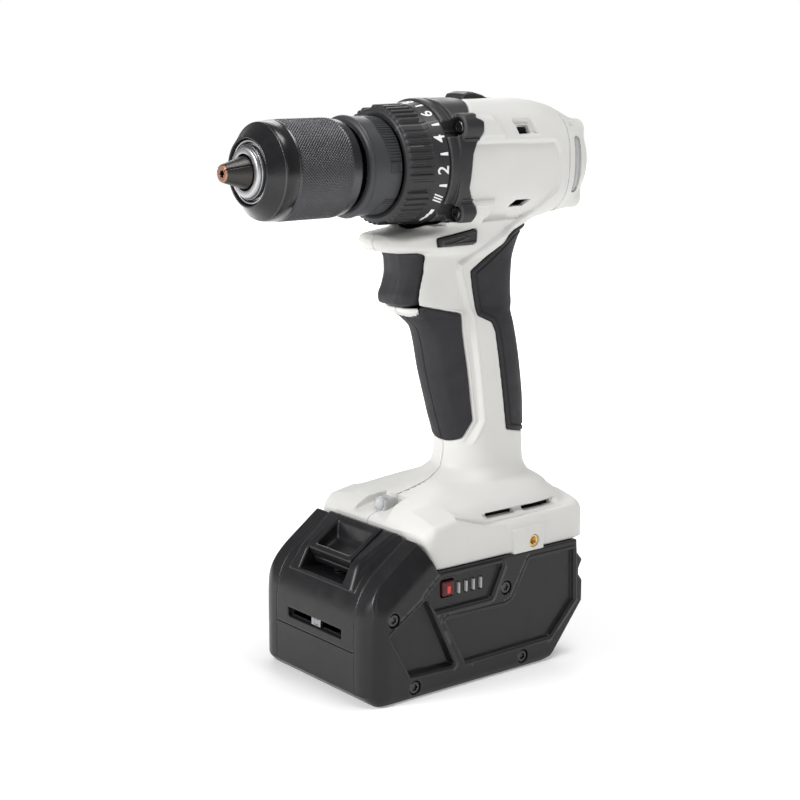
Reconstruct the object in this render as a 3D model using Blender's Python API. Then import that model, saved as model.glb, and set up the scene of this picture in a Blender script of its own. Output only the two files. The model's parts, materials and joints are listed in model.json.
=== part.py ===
"""Cordless drill driver with a slide-on battery pack, as separate named pieces.

All lengths are in millimetres here and are scaled to metres when a mesh is made. Z is up, the chuck points along -Y
and +X is the left side of the tool. The origin is on the battery's bottom face, 60 mm behind its front face.
"""

import math

import bmesh
import bpy
from mathutils import Vector

MM = 0.001
AXIS_Z = 231.7  # height of the chuck's axis
GAP = 0.3  # clearance between touching pieces
WIDE = 60.0  # half-width of a cutter that passes right through

# Side outlines, as (y, z) pairs, looked at from the tool's left side.
FLANGE_EDGE = [(20, 262), (14, 257), (9.5, 252), (18, 250.5), (18, 246), (14.5, 242.5), (8.5, 236.5), (7, 222),
               (12.5, 215), (14.5, 211), (12.5, 206.6)]
SIDE_PANEL = [(10, 242), (57, 241), (60, 231), (57.5, 222.5), (46, 215.5), (13, 215.5), (9, 221.5), (10.5, 236)]
FRONT_PAD = [(9, 164.5), (17.5, 115), (12, 106.5), (4, 102), (-20, 101), (-20, 159), (-4, 160.5), (-8.5, 171)]
REAR_PAD = [(48, 202), (16, 183.5), (20, 164), (28.5, 159.5), (37.5, 109), (80, 100), (80, 203)]
BUTTON = [(-4.2, 199.4), (-3.8, 196.3), (15.8, 196.6), (16.2, 202.8)]
BATTERY_SIDE = [(-55, 0), (-60, 3.8), (-60, 45), (-56, 51.5), (-30.6, 70), (-27.6, 65.6), (-22.4, 56), (61.8, 56),
                (62.2, 49.5), (65.6, 45.5), (63.4, 41.5), (63.4, 38.5), (65.7, 35.5), (65.7, 25.5), (46.2, 1.4),
                (41.4, 0)]
BATTERY_MID = [(-54, 0.3), (-59, 4.2), (-59, 44), (-55, 50), (-28.4, 67.4), (-26.2, 64.6), (-22, 55.4),
               (61.2, 55.4), (61.6, 49.2), (65, 45.4), (62.8, 41.5), (62.8, 38.5), (65.1, 35.2), (65.1, 25.8),
               (45.8, 1.8), (41, 0.3)]
BATTERY_FACE = [(-51, 1.4), (-55.3, 5), (-55.3, 38), (-50, 42), (-22, 55), (-21.8, 54.8), (-21.5, 54.6),
                (59.8, 54.4), (60.2, 49), (63.4, 45.2), (61.6, 41.5), (61.6, 38.5), (63.6, 34.8), (63.6, 26.2),
                (44.8, 2.8), (40.4, 1.4)]
BATTERY_X = 42.4
CORE_X = 29.4
FRONT_SEAM_Z = 23.2

# (y, half-width, bottom z, top z, roundness) along the barrel.
BARREL = [(-1, 28.8, 203.2, 260.0, 2.5), (40, 29.3, 203, 260.2, 2.6), (52, 29.3, 203.5, 259.4, 2.7),
          (64, 28.6, 205, 257.4, 2.7), (72, 27, 207, 254.6, 2.6), (79, 23.8, 209.5, 251, 2.5),
          (84, 20.6, 213, 247.4, 2.4), (88, 14.5, 219, 243, 2.3)]
CAP_Y = 66.0  # where the rear cap starts
# (y, half-width, bottom z, top z, roundness) along the chin under the clutch ring.
CHIN = [(-26.4, 8, 195.8, 202.3, 2.4), (-25, 12.5, 194.2, 204, 2.6), (-19, 17.2, 193, 204.8, 3), (-8, 20, 192.5, 205.6, 4),
        (6, 21.3, 191, 206.2, 4), (30, 21.5, 190, 212, 3)]
# (z, front y, rear y, half-width, roundness) up the foot, the neck and the grip.
HANDLE = [(56.3, -21.6, 68.6, 41, 14), (62, -25, 69.4, 41, 14), (69, -28.8, 69.2, 40.8, 12), (73.4, -29.4, 68, 39.8, 10),
          (77, -27.5, 66, 37.8, 8), (80, -21, 63.5, 34.6, 5.5), (82.4, -6, 61.5, 28.6, 4), (86, 7, 58.8, 22, 2.6),
          (92, 13.6, 58, 19, 2.2), (100, 14.8, 57.6, 18.4, 2.2), (117, 10.3, 57.3, 18.8, 2.2),
          (136, 4.9, 55.3, 19, 2.2), (156, 0, 51.5, 18.6, 2.2), (162, -6, 49.8, 18, 2.3), (167, -12.5, 48.4, 17.4, 2.6),
          (172, -12, 47, 17.4, 2.8), (186, -9, 46.6, 18, 3), (196, -9, 52, 19.6, 3), (206, -8, 62, 21.5, 3)]


def clear_scene():
    for obj in list(bpy.data.objects):
        bpy.data.objects.remove(obj, do_unlink=True)


def paint(name, colour, roughness, metallic=0.0):
    """A named Principled material."""
    made = bpy.data.materials.new(name)
    made.use_nodes = True
    shader = made.node_tree.nodes["Principled BSDF"]
    shader.inputs["Base Color"].default_value = (*colour, 1.0)
    shader.inputs["Roughness"].default_value = roughness
    shader.inputs["Metallic"].default_value = metallic
    made.diffuse_color = (*colour, 1.0)
    return made


def solid(name, points, faces):
    """An object from points in millimetres."""
    mesh = bpy.data.meshes.new(name)
    mesh.from_pydata([tuple(c * MM for c in p) for p in points], [], faces)
    mesh.update()
    obj = bpy.data.objects.new(name, mesh)
    bpy.context.scene.collection.objects.link(obj)
    return obj


def turned_out(points, faces):
    """The faces, reversed if they enclose a negative volume."""
    volume = 0.0
    for face in faces:
        a = Vector(points[face[0]])
        for i in range(1, len(face) - 1):
            volume += a.dot(Vector(points[face[i]]).cross(Vector(points[face[i + 1]])))
    return faces if volume > 0 else [tuple(reversed(face)) for face in faces]


def loft(name, loops):
    """A solid through closed loops of equal length, with flat ends."""
    count = len(loops[0])
    points = [p for loop in loops for p in loop]
    faces = [tuple(range(count)), tuple(reversed(range(len(points) - count, len(points))))]
    for k in range(len(loops) - 1):
        for i in range(count):
            j = (i + 1) % count
            faces.append((k * count + j, k * count + i, (k + 1) * count + i, (k + 1) * count + j))
    return solid(name, points, turned_out(points, faces))


def prism(name, outline, low, high):
    """A (y, z) outline given thickness along X."""
    return loft(name, [[(x, y, z) for y, z in outline] for x in (low, high)])


def box(name, x, y, z):
    return prism(name, [(y[0], z[0]), (y[1], z[0]), (y[1], z[1]), (y[0], z[1])], x[0], x[1])


def turned(name, profile, segments=32, x=0.0, z=AXIS_Z, phase=0.0):
    """A closed (y, radius) profile turned about the line through x and z along Y. Radius 0 lies on the line."""
    points, rows = [], []
    for y, radius in profile:
        if radius == 0:
            rows.append([len(points)] * segments)
            points.append((x, y, z))
            continue
        rows.append(list(range(len(points), len(points) + segments)))
        for i in range(segments):
            angle = phase + 2 * math.pi * i / segments
            points.append((x + radius * math.cos(angle), y, z + radius * math.sin(angle)))
    faces = []
    for k in range(len(rows)):
        here, there = rows[k], rows[(k + 1) % len(rows)]
        if here[0] == here[1] and there[0] == there[1]:
            continue
        for i in range(segments):
            j = (i + 1) % segments
            corners = [here[i], here[j], there[j], there[i]]
            face = tuple(c for n, c in enumerate(corners) if c != corners[n - 1])
            faces.append(face)
    return solid(name, points, turned_out(points, faces))


def rod(name, start, end, radius, segments=10):
    """A plain cylinder between two points."""
    start, end = Vector(start), Vector(end)
    along = (end - start).normalized()
    side = along.cross(Vector((0, 0, 1)) if abs(along.z) < 0.9 else Vector((1, 0, 0))).normalized()
    other = along.cross(side)
    loops = []
    for centre in (start, end):
        turns = [2 * math.pi * i / segments for i in range(segments)]
        loops.append([tuple(centre + radius * (math.cos(t) * side + math.sin(t) * other)) for t in turns])
    return loft(name, loops)


def volume(mesh):
    """The volume a mesh encloses, or None if some edge doesn't lie between exactly two faces."""
    work = bmesh.new()
    work.from_mesh(mesh)
    found = work.calc_volume(signed=True) if all(len(edge.link_faces) == 2 for edge in work.edges) else None
    work.free()
    return found


def plausible(operation, first, second, result):
    """True if a Boolean's volume is one that it can have."""
    if result is None or result <= 0:
        return False
    slack = 1e-4 * (first + second)
    least, most = {"UNION": (max(first, second), first + second), "DIFFERENCE": (first - second, first),
                   "INTERSECT": (0, min(first, second))}[operation]
    return least - slack <= result <= most + slack


def combine(target, other, operation):
    """Applies one Boolean at once and removes the other object. The second solver is for what the first gets wrong."""
    step = target.modifiers.new("step", "BOOLEAN")
    step.operation = operation
    step.object = other
    first, second = volume(target.data), volume(other.data)
    for solver in ("EXACT", "MANIFOLD"):
        step.solver = solver
        bpy.context.view_layer.update()
        graph = bpy.context.evaluated_depsgraph_get()
        made = bpy.data.meshes.new_from_object(target.evaluated_get(graph))
        if plausible(operation, first, second, volume(made)):
            break
    target.modifiers.clear()
    target.data = made
    made.materials.clear()
    bpy.data.objects.remove(other, do_unlink=True)
    return target


def cut(target, other):
    return combine(target, other, "DIFFERENCE")


def join(target, other):
    return combine(target, other, "UNION")


def keep(target, other):
    return combine(target, other, "INTERSECT")


def oval(a, b, power, count):
    """Offsets round a squared-off oval with half-axes a and b."""
    found = []
    for i in range(count):
        angle = 2 * math.pi * (i + 0.5) / count
        c, s = math.cos(angle), math.sin(angle)
        found.append((a * math.copysign(abs(c) ** (2 / power), c), b * math.copysign(abs(s) ** (2 / power), s)))
    return found


def along_y(name, sections, grow=0.0, count=20):
    """A loft whose sections (y, half-width, bottom, top, roundness) stand across Y."""
    loops = []
    for y, half, bottom, top, power in sections:
        ring = oval(half + grow, (top - bottom) / 2 + grow, power, count)
        loops.append([(dx, y, (top + bottom) / 2 + dz) for dx, dz in ring])
    return loft(name, loops)


def handle(name, grow=0.0, low=0.0, count=20):
    """The foot, neck and grip as one loft; grow offsets the wall and low lifts the open end."""
    loops = []
    for n, (z, front, rear, half, power) in enumerate(HANDLE):
        ring = oval(half + grow, (rear - front) / 2 + grow, power, count)
        loops.append([(dx, (front + rear) / 2 + dy, z + (low if n == 0 else 0)) for dx, dy in ring])
    return loft(name, loops)


def barrel(name, grow=0.0, rear=CAP_Y):
    """The barrel's outside, cut off at the rear cap's joint."""
    shape = along_y(name, BARREL, grow)
    return cut(shape, box("trim", (-WIDE, WIDE), (rear, 140), (150, 300)))


def housing_block():
    """Both clamshell halves and their raised ledges as one hollow shell."""
    shell = barrel("shell", rear=CAP_Y - GAP / 2)
    shell = join(shell, along_y("chin", CHIN))
    shell = join(shell, handle("handle"))
    for side in (-1, 1):
        low, high = sorted((side * 24, side * 30.1))
        shell = join(shell, prism("panel", SIDE_PANEL, low, high))
        shell = join(shell, ledge(side, 30.6, 251.8, 243, 33))
        shell = join(shell, ledge(side, 28.6, 214.3, 206.8, 29))
        low, high = sorted((side * 34, side * 42.2))
        shell = join(shell, box("hook_boss", (low, high), (25, 44), (56.3, 67.5)))
    shell = cut(shell, along_y("bore", [(y, w, b, t, p) for y, w, b, t, p in BARREL], -2.4))
    shell = cut(shell, box("bore_front", (-22, 22), (-10, 12), (209.5, 254)))
    shell = cut(shell, hollow_handle())
    shell = cut(shell, prism("flange_room", [(-60, 300), *offset_edge(GAP), (-60, 206.55)], -WIDE, WIDE))
    shell = cut(shell, turned("ring_room", [(-40, 0), (-40, 28.9), (6, 28.9), (6, 0)], 32))
    shell = cut(shell, trigger_room())
    shell = cut(shell, box("battery_way", (-26, 26), (-45, -10), (50, 69)))
    shell = cut(shell, box("slider_room", (-8, 8), (16, 50), (257.4, 275)))
    shell = cut(shell, box("slider_slot", (-4, 4), (24, 42), (250, 259)))
    for side in (-1, 1):
        low, high = sorted((side * 20, side * 50))
        shell = cut(shell, box("vent_upper", (low, high), (37, 45), (244.2, 247.4)))
        shell = cut(shell, box("vent_lower", (low, high), (34, 44), (211.4, 214)))
        shell = cut(shell, box("vent_foot", (side * 34 if side > 0 else low, high if side > 0 else side * 34),
                               (12, 50), (72.4, 74.2)))
        low, high = sorted((side * 33, side * 50))
        shell = cut(shell, rod("insert_hole", (low, 35, 60), (high, 35, 60), 3.2, 16))
    shell = cut(shell, prism("button_room", widened(BUTTON, GAP), -WIDE, WIDE))
    shell = cut(shell, along_lamp("lamp_room", GAP))
    shell = cut(shell, pad_block("front_room", FRONT_PAD, GAP, 3.0, -1.9))
    return cut(shell, pad_block("rear_room", REAR_PAD, GAP, 3.0, -1.9))


def offset_edge(step):
    return [(y + step, z) for y, z in FLANGE_EDGE]


def ledge(side, reach, top, bottom, rear):
    """A raised ledge behind a flange boss, sloping away at its rear end."""
    outline = [(5, bottom), (rear - 4, bottom), (rear, top), (5, top)]
    low, high = sorted((side * 17, side * reach))
    return prism("ledge", outline, low, high)


def hollow_handle():
    """The space inside the foot and the grip, open at the battery."""
    return handle("hollow", -2.6, -6)


def along_lamp(name, grow):
    """The work-light lens in the front of the foot, or its opening."""
    outline = [(-34, 76.5), (-22, 76.5), (-16, 84.5), (-34, 84.5)]
    shape = prism(name, outline, -5 - grow, 5 + grow)
    return shape


def widened(outline, step):
    """An outline whose sides all stand further out by one step, with square-cut corners."""
    area = sum(a[0] * b[1] - b[0] * a[1] for a, b in zip(outline, outline[1:] + outline[:1]))
    sign = 1 if area > 0 else -1
    normals = []
    for (ya, za), (yb, zb) in zip(outline, outline[1:] + outline[:1]):
        length = math.hypot(yb - ya, zb - za)
        normals.append((sign * (zb - za) / length, sign * (ya - yb) / length))
    found = []
    for n, (y, z) in enumerate(outline):
        (ay, az), (by, bz) = normals[n - 1], normals[n]
        share = step / (1 + ay * by + az * bz)
        found.append((y + share * (ay + by), z + share * (az + bz)))
    return found


def pad_block(name, outline, room, outside, inside):
    """A band of the handle's wall inside a side outline."""
    band = handle(name, outside)
    band = cut(band, handle("core", inside))
    return keep(band, prism("region", widened(outline, room), -WIDE, WIDE))


def trigger_room():
    return box("trigger_room", (-11.6, 11.6), (-40, 2), (168.6, 193.4))


def halves(block, left_name, right_name):
    """Splits a block at the mid-plane, with a gap, into a left and a right object."""
    other = bpy.data.objects.new(right_name, block.data.copy())
    bpy.context.scene.collection.objects.link(other)
    block.name = left_name
    cut(block, box("trim", (-90, GAP / 2), (-150, 150), (-10, 300)))
    cut(other, box("trim", (-GAP / 2, 90), (-150, 150), (-10, 300)))
    return block, other


def pads(outline, label):
    block = pad_block(label, outline, 0.0, 0.45, -1.5)
    block = cut(block, trigger_room())
    return halves(block, label + "_left", label + "_right")


def rear_cap():
    """The cap behind the motor, with side slots and four screw bosses."""
    cap = cut(along_y("rear_cap", BARREL), box("trim", (-WIDE, WIDE), (-60, CAP_Y + GAP / 2), (150, 300)))
    for side in (-1, 1):
        cap = join(cap, rod("boss", (side * 15.4, 67, 244.4), (side * 15.4, 82.4, 244.4), 5.2, 12))
        cap = join(cap, rod("boss", (side * 15.4, 67, 213.6), (side * 15.4, 81, 213.6), 5.2, 12))
    inner = [(y, w, b, t, p) for y, w, b, t, p in BARREL if y < 85]
    cap = cut(cap, along_y("inner", inner, -2.4))
    for side in (-1, 1):
        low, high = sorted((side * 17, side * 40))
        cap = cut(cap, box("slot", (low, high), (71.5, 76), (217.5, 241)))
        cap = cut(cap, rod("screw_room", (side * 15.4, 78.6, 244.4), (side * 15.4, 90, 244.4), 2.9, 12))
    return cap


def gearcase():
    """The black flange in front of the housing, with a neck that carries the rings and four screw bosses."""
    case = cut(barrel("gearcase"), box("front", (-WIDE, WIDE), (-20, 1), (150, 300)))
    case = join(case, turned("rim", [(-4.2, 0), (-4.2, 28.2), (-3.4, 28.6), (6, 28.6), (6, 0)], 32))
    for side in (-1, 1):
        for x, z, rear in ((24, 248.3, 17.4), (22, 210.9, 12.2)):
            case = join(case, rod("boss", (side * x, 2, z), (side * x, rear, z), 5.6, 12))
    case = keep(case, prism("region", [(-20, 300), *FLANGE_EDGE, (12.5, 190), (-20, 190)], -WIDE, WIDE))
    case = cut(case, box("below", (-WIDE, WIDE), (1, 40), (180, 206.9)))
    case = join(case, turned("neck", [(-30, 0), (-30, 17.6), (1, 17.6), (1, 0)], 32))
    case = cut(case, turned("bore", [(-3, 0), (-3, 24.6), (40, 24.6), (40, 0)], 32))
    case = cut(case, turned("bore", [(-31, 0), (-31, 13.3), (0, 13.3), (0, 0)], 32))
    for side in (-1, 1):
        for x, z in ((24, 248.3), (22, 210.9)):
            case = cut(case, rod("screw_room", (side * x, 0, z), (side * x, 4.4, z), 3.7, 14))
            case = cut(case, rod("shank_room", (side * x, 0, z), (side * x, 12, z), 1.9, 10))
    return case


def torx_screw(name, head_centre, direction, head=3.3, shank=1.5, length=7.0, depth=1.6):
    """A pan-head screw with a six-sided socket; direction points from the head into the work."""
    centre, along = Vector(head_centre), Vector(direction)
    screw = rod(name, centre, centre + depth * along, head, 12)
    screw = join(screw, rod("shank", centre + 0.5 * depth * along, centre + length * along, shank, 8))
    return cut(screw, rod("socket", centre - along, centre + 0.9 * along, 1.6, 6))


def clutch_ring():
    """The torque ring: a plain rear band and groups of raised grip ribs in front."""
    ring = turned("clutch_ring", [(-25.6, 21.6), (-25.6, 23.6), (-24.4, 24.6), (-12, 25), (-10.5, 26.2), (-5.6, 27.4),
                                  (-4.6, 27.4), (-4.6, 18), (-22, 18)], 32)
    groups, ribs = 8, 3
    for group in range(groups):
        for rib in range(ribs):
            angle = 2 * math.pi * (group + (rib - (ribs - 1) / 2) * 0.25) / groups + 0.08
            ring = join(ring, clutch_rib(angle))
    return ring


def clutch_rib(angle):
    """One axial rib with sloped ends."""
    loops = []
    for y, low, high, half in ((-24.6, 23.6, 24.6, 0.9), (-23.6, 23.6, 26, 1.05), (-13.6, 23.6, 26.2, 1.05),
                               (-12.2, 23.6, 25.2, 0.9)):
        loop = []
        for radius, across in ((low, -half), (high, -half * 0.75), (high, half * 0.75), (low, half)):
            loop.append((radius * math.cos(angle) - across * math.sin(angle), y,
                         AXIS_Z + radius * math.sin(angle) + across * math.cos(angle)))
        loops.append(loop)
    return loft("rib", loops)


def mode_collar():
    return turned("mode_collar", [(-43, 18.4), (-43, 20.9), (-42.4, 21.9), (-41.4, 22.3), (-40.6, 21.7), (-26, 21.4),
                                  (-26, 17.9), (-38, 17.9), (-38, 18.4)], 28)


def jaw(name, index):
    """One of three jaws: a sector of the closed cone, on an axis inclined to the chuck's."""
    middle = 2 * math.pi * index / 3 + math.pi / 2
    spread = math.pi / 3
    loops = []
    for y, radius in ((-103.8, 3.4), (-102.9, 3.95), (-93, 7.0), (-88, 7.4), (-82, 7.4)):
        loop = [(0.75 * math.cos(middle), 0.75 * math.sin(middle))]
        edge = 0.12
        for i in range(5):
            angle = middle + (spread - edge / radius * 2) * (i / 2 - 1)
            loop.append((radius * math.cos(angle), radius * math.sin(angle)))
        loops.append([(dx, y, AXIS_Z + dz) for dx, dz in loop])
    return loft(name, loops)


def chuck_body():
    """The steel body inside the sleeve: a bright front ring, a conical jaw chamber and a rear flange."""
    return turned("chuck_body", [(-92.8, 7.7), (-93, 9.6), (-92.4, 10.7), (-88.6, 10.9), (-88.4, 13.2), (-84, 16),
                                 (-62, 19), (-48, 19), (-48, 5.5), (-62.5, 5.5), (-62.7, 16.9)], 24)


def chuck_sleeve():
    """The keyless sleeve: bevelled nose cone, plain band, gripping band and a bevelled rear edge."""
    return turned("chuck_sleeve", [(-91.3, 13.9), (-91.3, 14.7), (-90.6, 15.2), (-85.4, 20.3), (-84.8, 20.7),
                                   (-79, 21.45), (-50.6, 21.45), (-46.6, 20.8), (-46.2, 20.2), (-46.2, 19.4),
                                   (-62, 19.4), (-84.3, 16.4), (-88, 13.9)], 30)


def nose_ring():
    return turned("chuck_nose_ring", [(-90.4, 11.3), (-90.6, 11.6), (-90.6, 13.2), (-90.2, 13.5), (-89, 13.5),
                                      (-89, 11.3)], 24)


def spindle():
    """The output shaft from the chuck to the planet carrier."""
    return turned("spindle", [(-61.5, 0), (-61.5, 5.2), (-47.7, 5.2), (-47.7, 11), (-44.5, 11), (-44.5, 6), (3.4, 6),
                              (3.4, 0)], 20)


def gears():
    """The epicyclic reduction: ring gear, carrier with three pins and three planets."""
    made = [turned("ring_gear", [(4, 17.2), (4, 24.2), (16, 24.2), (16, 17.2)], 32),
            turned("spindle_bearing", [(-20, 6.3), (-20, 13), (-11, 13), (-11, 6.3)], 24)]
    carrier = turned("planet_carrier", [(3.7, 0), (3.7, 14.5), (6.6, 14.5), (6.6, 0)], 24)
    for index in range(3):
        angle = 2 * math.pi * index / 3 + math.pi / 2
        x, z = 10.3 * math.cos(angle), AXIS_Z + 10.3 * math.sin(angle)
        carrier = join(carrier, rod("pin", (x, 5, z), (x, 14, z), 2.1, 10))
        made.append(turned(f"planet_gear_{index + 1}", [(7, 2.5), (7, 6.5), (13.6, 6.5), (13.6, 2.5)], 20, x, z))
    return [carrier, *made]


def motor():
    """Motor can, rotor with its pinion and the cooling fan."""
    can = turned("motor_can", [(20, 6), (20, 18.6), (64, 18.6), (64, 16.8), (22, 16.8), (22, 6)], 28)
    rotor = turned("rotor", [(8, 0), (8, 3.4), (15, 3.4), (15, 2.4), (27, 2.4), (27, 15.6), (55, 15.6), (55, 9),
                             (60, 9), (60, 2.4), (80, 2.4), (80, 0)], 24)
    fan = turned("cooling_fan", [(66.6, 2.7), (66.6, 8), (70, 20), (71.4, 20), (71.4, 2.7)], 24)
    return [can, rotor, fan]


def controls():
    """Speed slider, direction button, trigger, its spring and the switch body behind it."""
    slider = prism("speed_slider", [(20, 258), (20, 262.4), (22, 262.8), (29, 262.6), (35, 260.6), (36, 258)], -6.6, 6.6)
    slider = join(slider, box("stem", (-3.4, 3.4), (26, 30), (252, 259)))
    button = prism("direction_button", BUTTON, -22.6, 22.6)
    loops = []
    for z, front, half in ((168.9, -17.6, 8.5), (170.6, -19, 10), (177, -17.4, 10.8), (184, -15.6, 11), (190, -16.2, 11),
                           (192.9, -17.2, 11)):
        ring = [(half, -3), (half, front + 6), (half * 0.72, front + 1.2), (0, front + 0.4), (-half * 0.72, front + 1.2),
                (-half, front + 6), (-half, -3)]
        loops.append([(x, y, z) for x, y in ring])
    trigger = loft("trigger", loops)
    trigger = cut(trigger, box("back", (-9, 9), (-9, 0), (171.5, 191)))
    switch = box("switch_body", (-8.6, 8.6), (6, 32), (168, 192))
    spring = coil("trigger_spring", (0, -8.6, 181.2), (0, 5.6, 181.2), 4.0, 0.5, 5)
    return [slider, button, trigger, switch, spring]


def coil(name, start, end, radius, wire, turns):
    """A round-wire compression spring between two points."""
    start, end = Vector(start), Vector(end)
    along = (end - start).normalized()
    side = along.cross(Vector((1, 0, 0))).normalized()
    other = along.cross(side)
    steps = 10 * turns
    loops = []
    for i in range(steps + 1):
        angle = 2 * math.pi * i / 10
        share = i / steps
        centre = start.lerp(end, 0.04 + 0.92 * share) + radius * (math.cos(angle) * side + math.sin(angle) * other)
        out = math.cos(angle) * side + math.sin(angle) * other
        loops.append([tuple(centre + wire * (math.cos(t) * out + math.sin(t) * along))
                      for t in (math.pi / 4, 3 * math.pi / 4, 5 * math.pi / 4, 7 * math.pi / 4)])
    return loft(name, loops)


def electrics():
    """Control board, work-light lens and belt-hook inserts."""
    board = box("control_board", (-16, 16), (14, 46), (78.6, 81.4))
    made = [board, lamp_lens()]
    for side, name in ((1, "hook_insert_left"), (-1, "hook_insert_right")):
        insert = rod(name, (side * 34, 35, 60), (side * 41.2, 35, 60), 2.8, 16)
        made.append(cut(insert, rod("thread", (side * 36, 35, 60), (side * 43, 35, 60), 1.7, 12)))
    return made


def lamp_lens():
    lens = along_lamp("lamp_lens", 0.0)
    return keep(lens, handle("wall", -1.2))


def raised_surround():
    """The raised frame round the latch, standing on the battery's sloping top."""
    top = [(-21.5, -50.9, 60.3), (21.5, -50.9, 60.3), (25.4, -30.3, 73.2), (-25.4, -30.3, 73.2)]
    base = [(-23.6, -56.5, 50), (23.6, -56.5, 50), (29, -30.3, 66), (-29, -30.3, 66)]
    return loft("surround", [base, top])


def latch_room():
    """The pocket that the latch button sits in, open to the front."""
    outline = [(-33.2, 80), (-33.2, 57.5), (-38, 55.2), (-44, 50.5), (-62, 50.5), (-62, 80)]
    return prism("latch_room", outline, -16.2, 16.2)


def battery_upper():
    """The battery's middle shell above the front seam, with latch surround and contact tower."""
    upper = prism("battery_upper_case", BATTERY_SIDE, -CORE_X, CORE_X)
    upper = join(upper, raised_surround())
    upper = join(upper, box("tower", (-17, 17), (-6, 50), (50, 66)))
    inside = [(-57.4, -5), (-57.4, 42), (-53.6, 48), (-44, 48), (-36, 53.4), (59.4, 53.4), (59.4, 47), (59.4, -5)]
    upper = cut(upper, prism("inside", inside, -WIDE, WIDE))
    upper = cut(upper, box("lower_half", (-WIDE, WIDE), (-90, 90), (-5, FRONT_SEAM_Z + GAP / 2)))
    upper = cut(upper, latch_room())
    upper = cut(upper, box("spring_room", (-3.4, 3.4), (-48.6, -41.6), (49, 58)))
    for x in (-11, -4, 4, 11):
        upper = cut(upper, box("contact", (x - 0.8, x + 0.8), (-8, 30), (58, 68)))
    upper = join(upper, box("slot_wall", (-22, 22), (-58, -55), (25.4, 33.4)))
    return cut(upper, box("slot", (-20.3, 20.3), (-62, -57.6), (27.3, 31.6)))


def battery_lower():
    """The battery's bottom tray below the front seam."""
    lower = prism("battery_lower_case", BATTERY_SIDE, -CORE_X, CORE_X)
    inside = [(-57.4, 6), (-51, 2.4), (39.6, 2.4), (45, 4), (62.4, 26.5), (62.4, 80), (-57.4, 80)]
    lower = cut(lower, prism("inside", inside, -WIDE, WIDE))
    return cut(lower, box("upper_half", (-WIDE, WIDE), (-90, 90), (FRONT_SEAM_Z - GAP / 2, 90)))


def battery_shell(side, name):
    """One side shell of the battery, with bevelled edges, relief panels and screw holes."""
    stations = ((CORE_X + GAP, BATTERY_SIDE), (36.5, BATTERY_SIDE), (40.4, BATTERY_MID), (BATTERY_X, BATTERY_FACE))
    shell = loft(name, [[(side * x, y, z) for y, z in outline] for x, outline in stations])
    inside = [(-52, 3.4), (-57, 8), (-57, 42), (-52, 47), (-32, 53), (61, 53), (61, 25), (45.5, 3.6)]
    low, high = sorted((side * 20, side * 39))
    shell = cut(shell, prism("inside", inside, low, high))
    low, high = sorted((side * 41.4, side * 50))
    gauge = [(-24, 38.4), (-29, 45.4), (-20.6, 52.8), (15, 52.8), (8.4, 38.4)]
    label = [(-18.6, 33.1), (-6.4, 11.8), (45, 11.8), (59.6, 27), (59.6, 51.2), (32, 51.2), (21.8, 33.9), (17, 33.1)]
    wedge = [(-29.4, 44), (-13.2, 11.4), (-38.2, 11.9), (-48.6, 31.6)]
    for outline in (gauge, label, wedge):
        shell = cut(shell, prism("relief", outline, low, high))
    for y, z in SCREW_PLACES:
        low, high = sorted((side * 40.6, side * 50))
        shell = cut(shell, rod("head_room", (low, y, z), (high, y, z), 3.1, 12))
        low, high = sorted((side * 36, side * 50))
        shell = cut(shell, rod("shank_room", (low, y, z), (high, y, z), 1.6, 8))
    if side > 0:
        shell = cut(shell, box("button_room", (37, 50), (-20, -12.2), (43, 51.4)))
        shell = cut(shell, box("guide_room", (37, 50), (-11.2, 4), (43, 49.6)))
    return shell


SCREW_PLACES = [(-35.4, 5.4), (28.5, 5.6), (17.8, 41), (-47.2, 38.8)]


def battery_fittings():
    """Latch, latch spring, cells, board, gauge button, light guide and screws."""
    latch = prism("latch_button", [(-34, 72), (-51.4, 60), (-51.4, 58), (-49, 54.5), (-37, 59.5), (-34, 62.5)],
                  -15.6, 15.6)
    latch = cut(latch, prism("scoop", [(-37, 75), (-37, 66), (-41, 60.4), (-47.5, 60), (-49.4, 63), (-49.4, 75)],
                             -12.6, 12.6))
    made = [latch, coil("latch_spring", (0, -45, 49.6), (0, -45, 55.4), 2.4, 0.35, 4)]
    for name, z in (("cell_row_lower", 13.2), ("cell_row_upper", 32.2)):
        made.append(cell_row(name, z))
    made.append(box("battery_board", (-24, 24), (-30, 56), (43, 44.6)))
    made.append(box("gauge_button", (38, 42), (-19.4, -12.8), (43.8, 50.8)))
    guide = box("gauge_light_guide", (38, 40.8), (-10.8, 3.6), (43.4, 49.2))
    for n in range(4):
        y = -10.4 + 4.3 * n
        guide = join(guide, box("bar", (40, 42), (y, y + 1.1), (43.6, 49)))
    made.append(guide)
    for side, label in ((1, "left"), (-1, "right")):
        for n, (y, z) in enumerate(SCREW_PLACES):
            made.append(torx_screw(f"battery_screw_{label}_{n + 1}", (side * 42.2, y, z), (-side, 0, 0), 2.8, 1.3, 5.8,
                                   1.3))
    return made


def cell_row(name, z):
    """Five cells across the pack, welded together by a nickel strip at each end."""
    row = None
    for n in range(5):
        y = -38 + 18.8 * n
        cell = rod(name if row is None else "cell", (-32.5, y, z), (32.5, y, z), 9.2, 14)
        row = cell if row is None else join(row, cell)
    for side in (-1, 1):
        low, high = sorted((side * 32, side * 33.2))
        row = join(row, box("strip", (low, high), (-42, 41), (z - 3.5, z + 3.5)))
    return row


def set_origin(name, point):
    """Moves an object's origin to a point on its joint's axis without moving its mesh."""
    obj = bpy.data.objects[name]
    where = Vector(point) * MM
    for vertex in obj.data.vertices:
        vertex.co -= where
    obj.location = where


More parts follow.
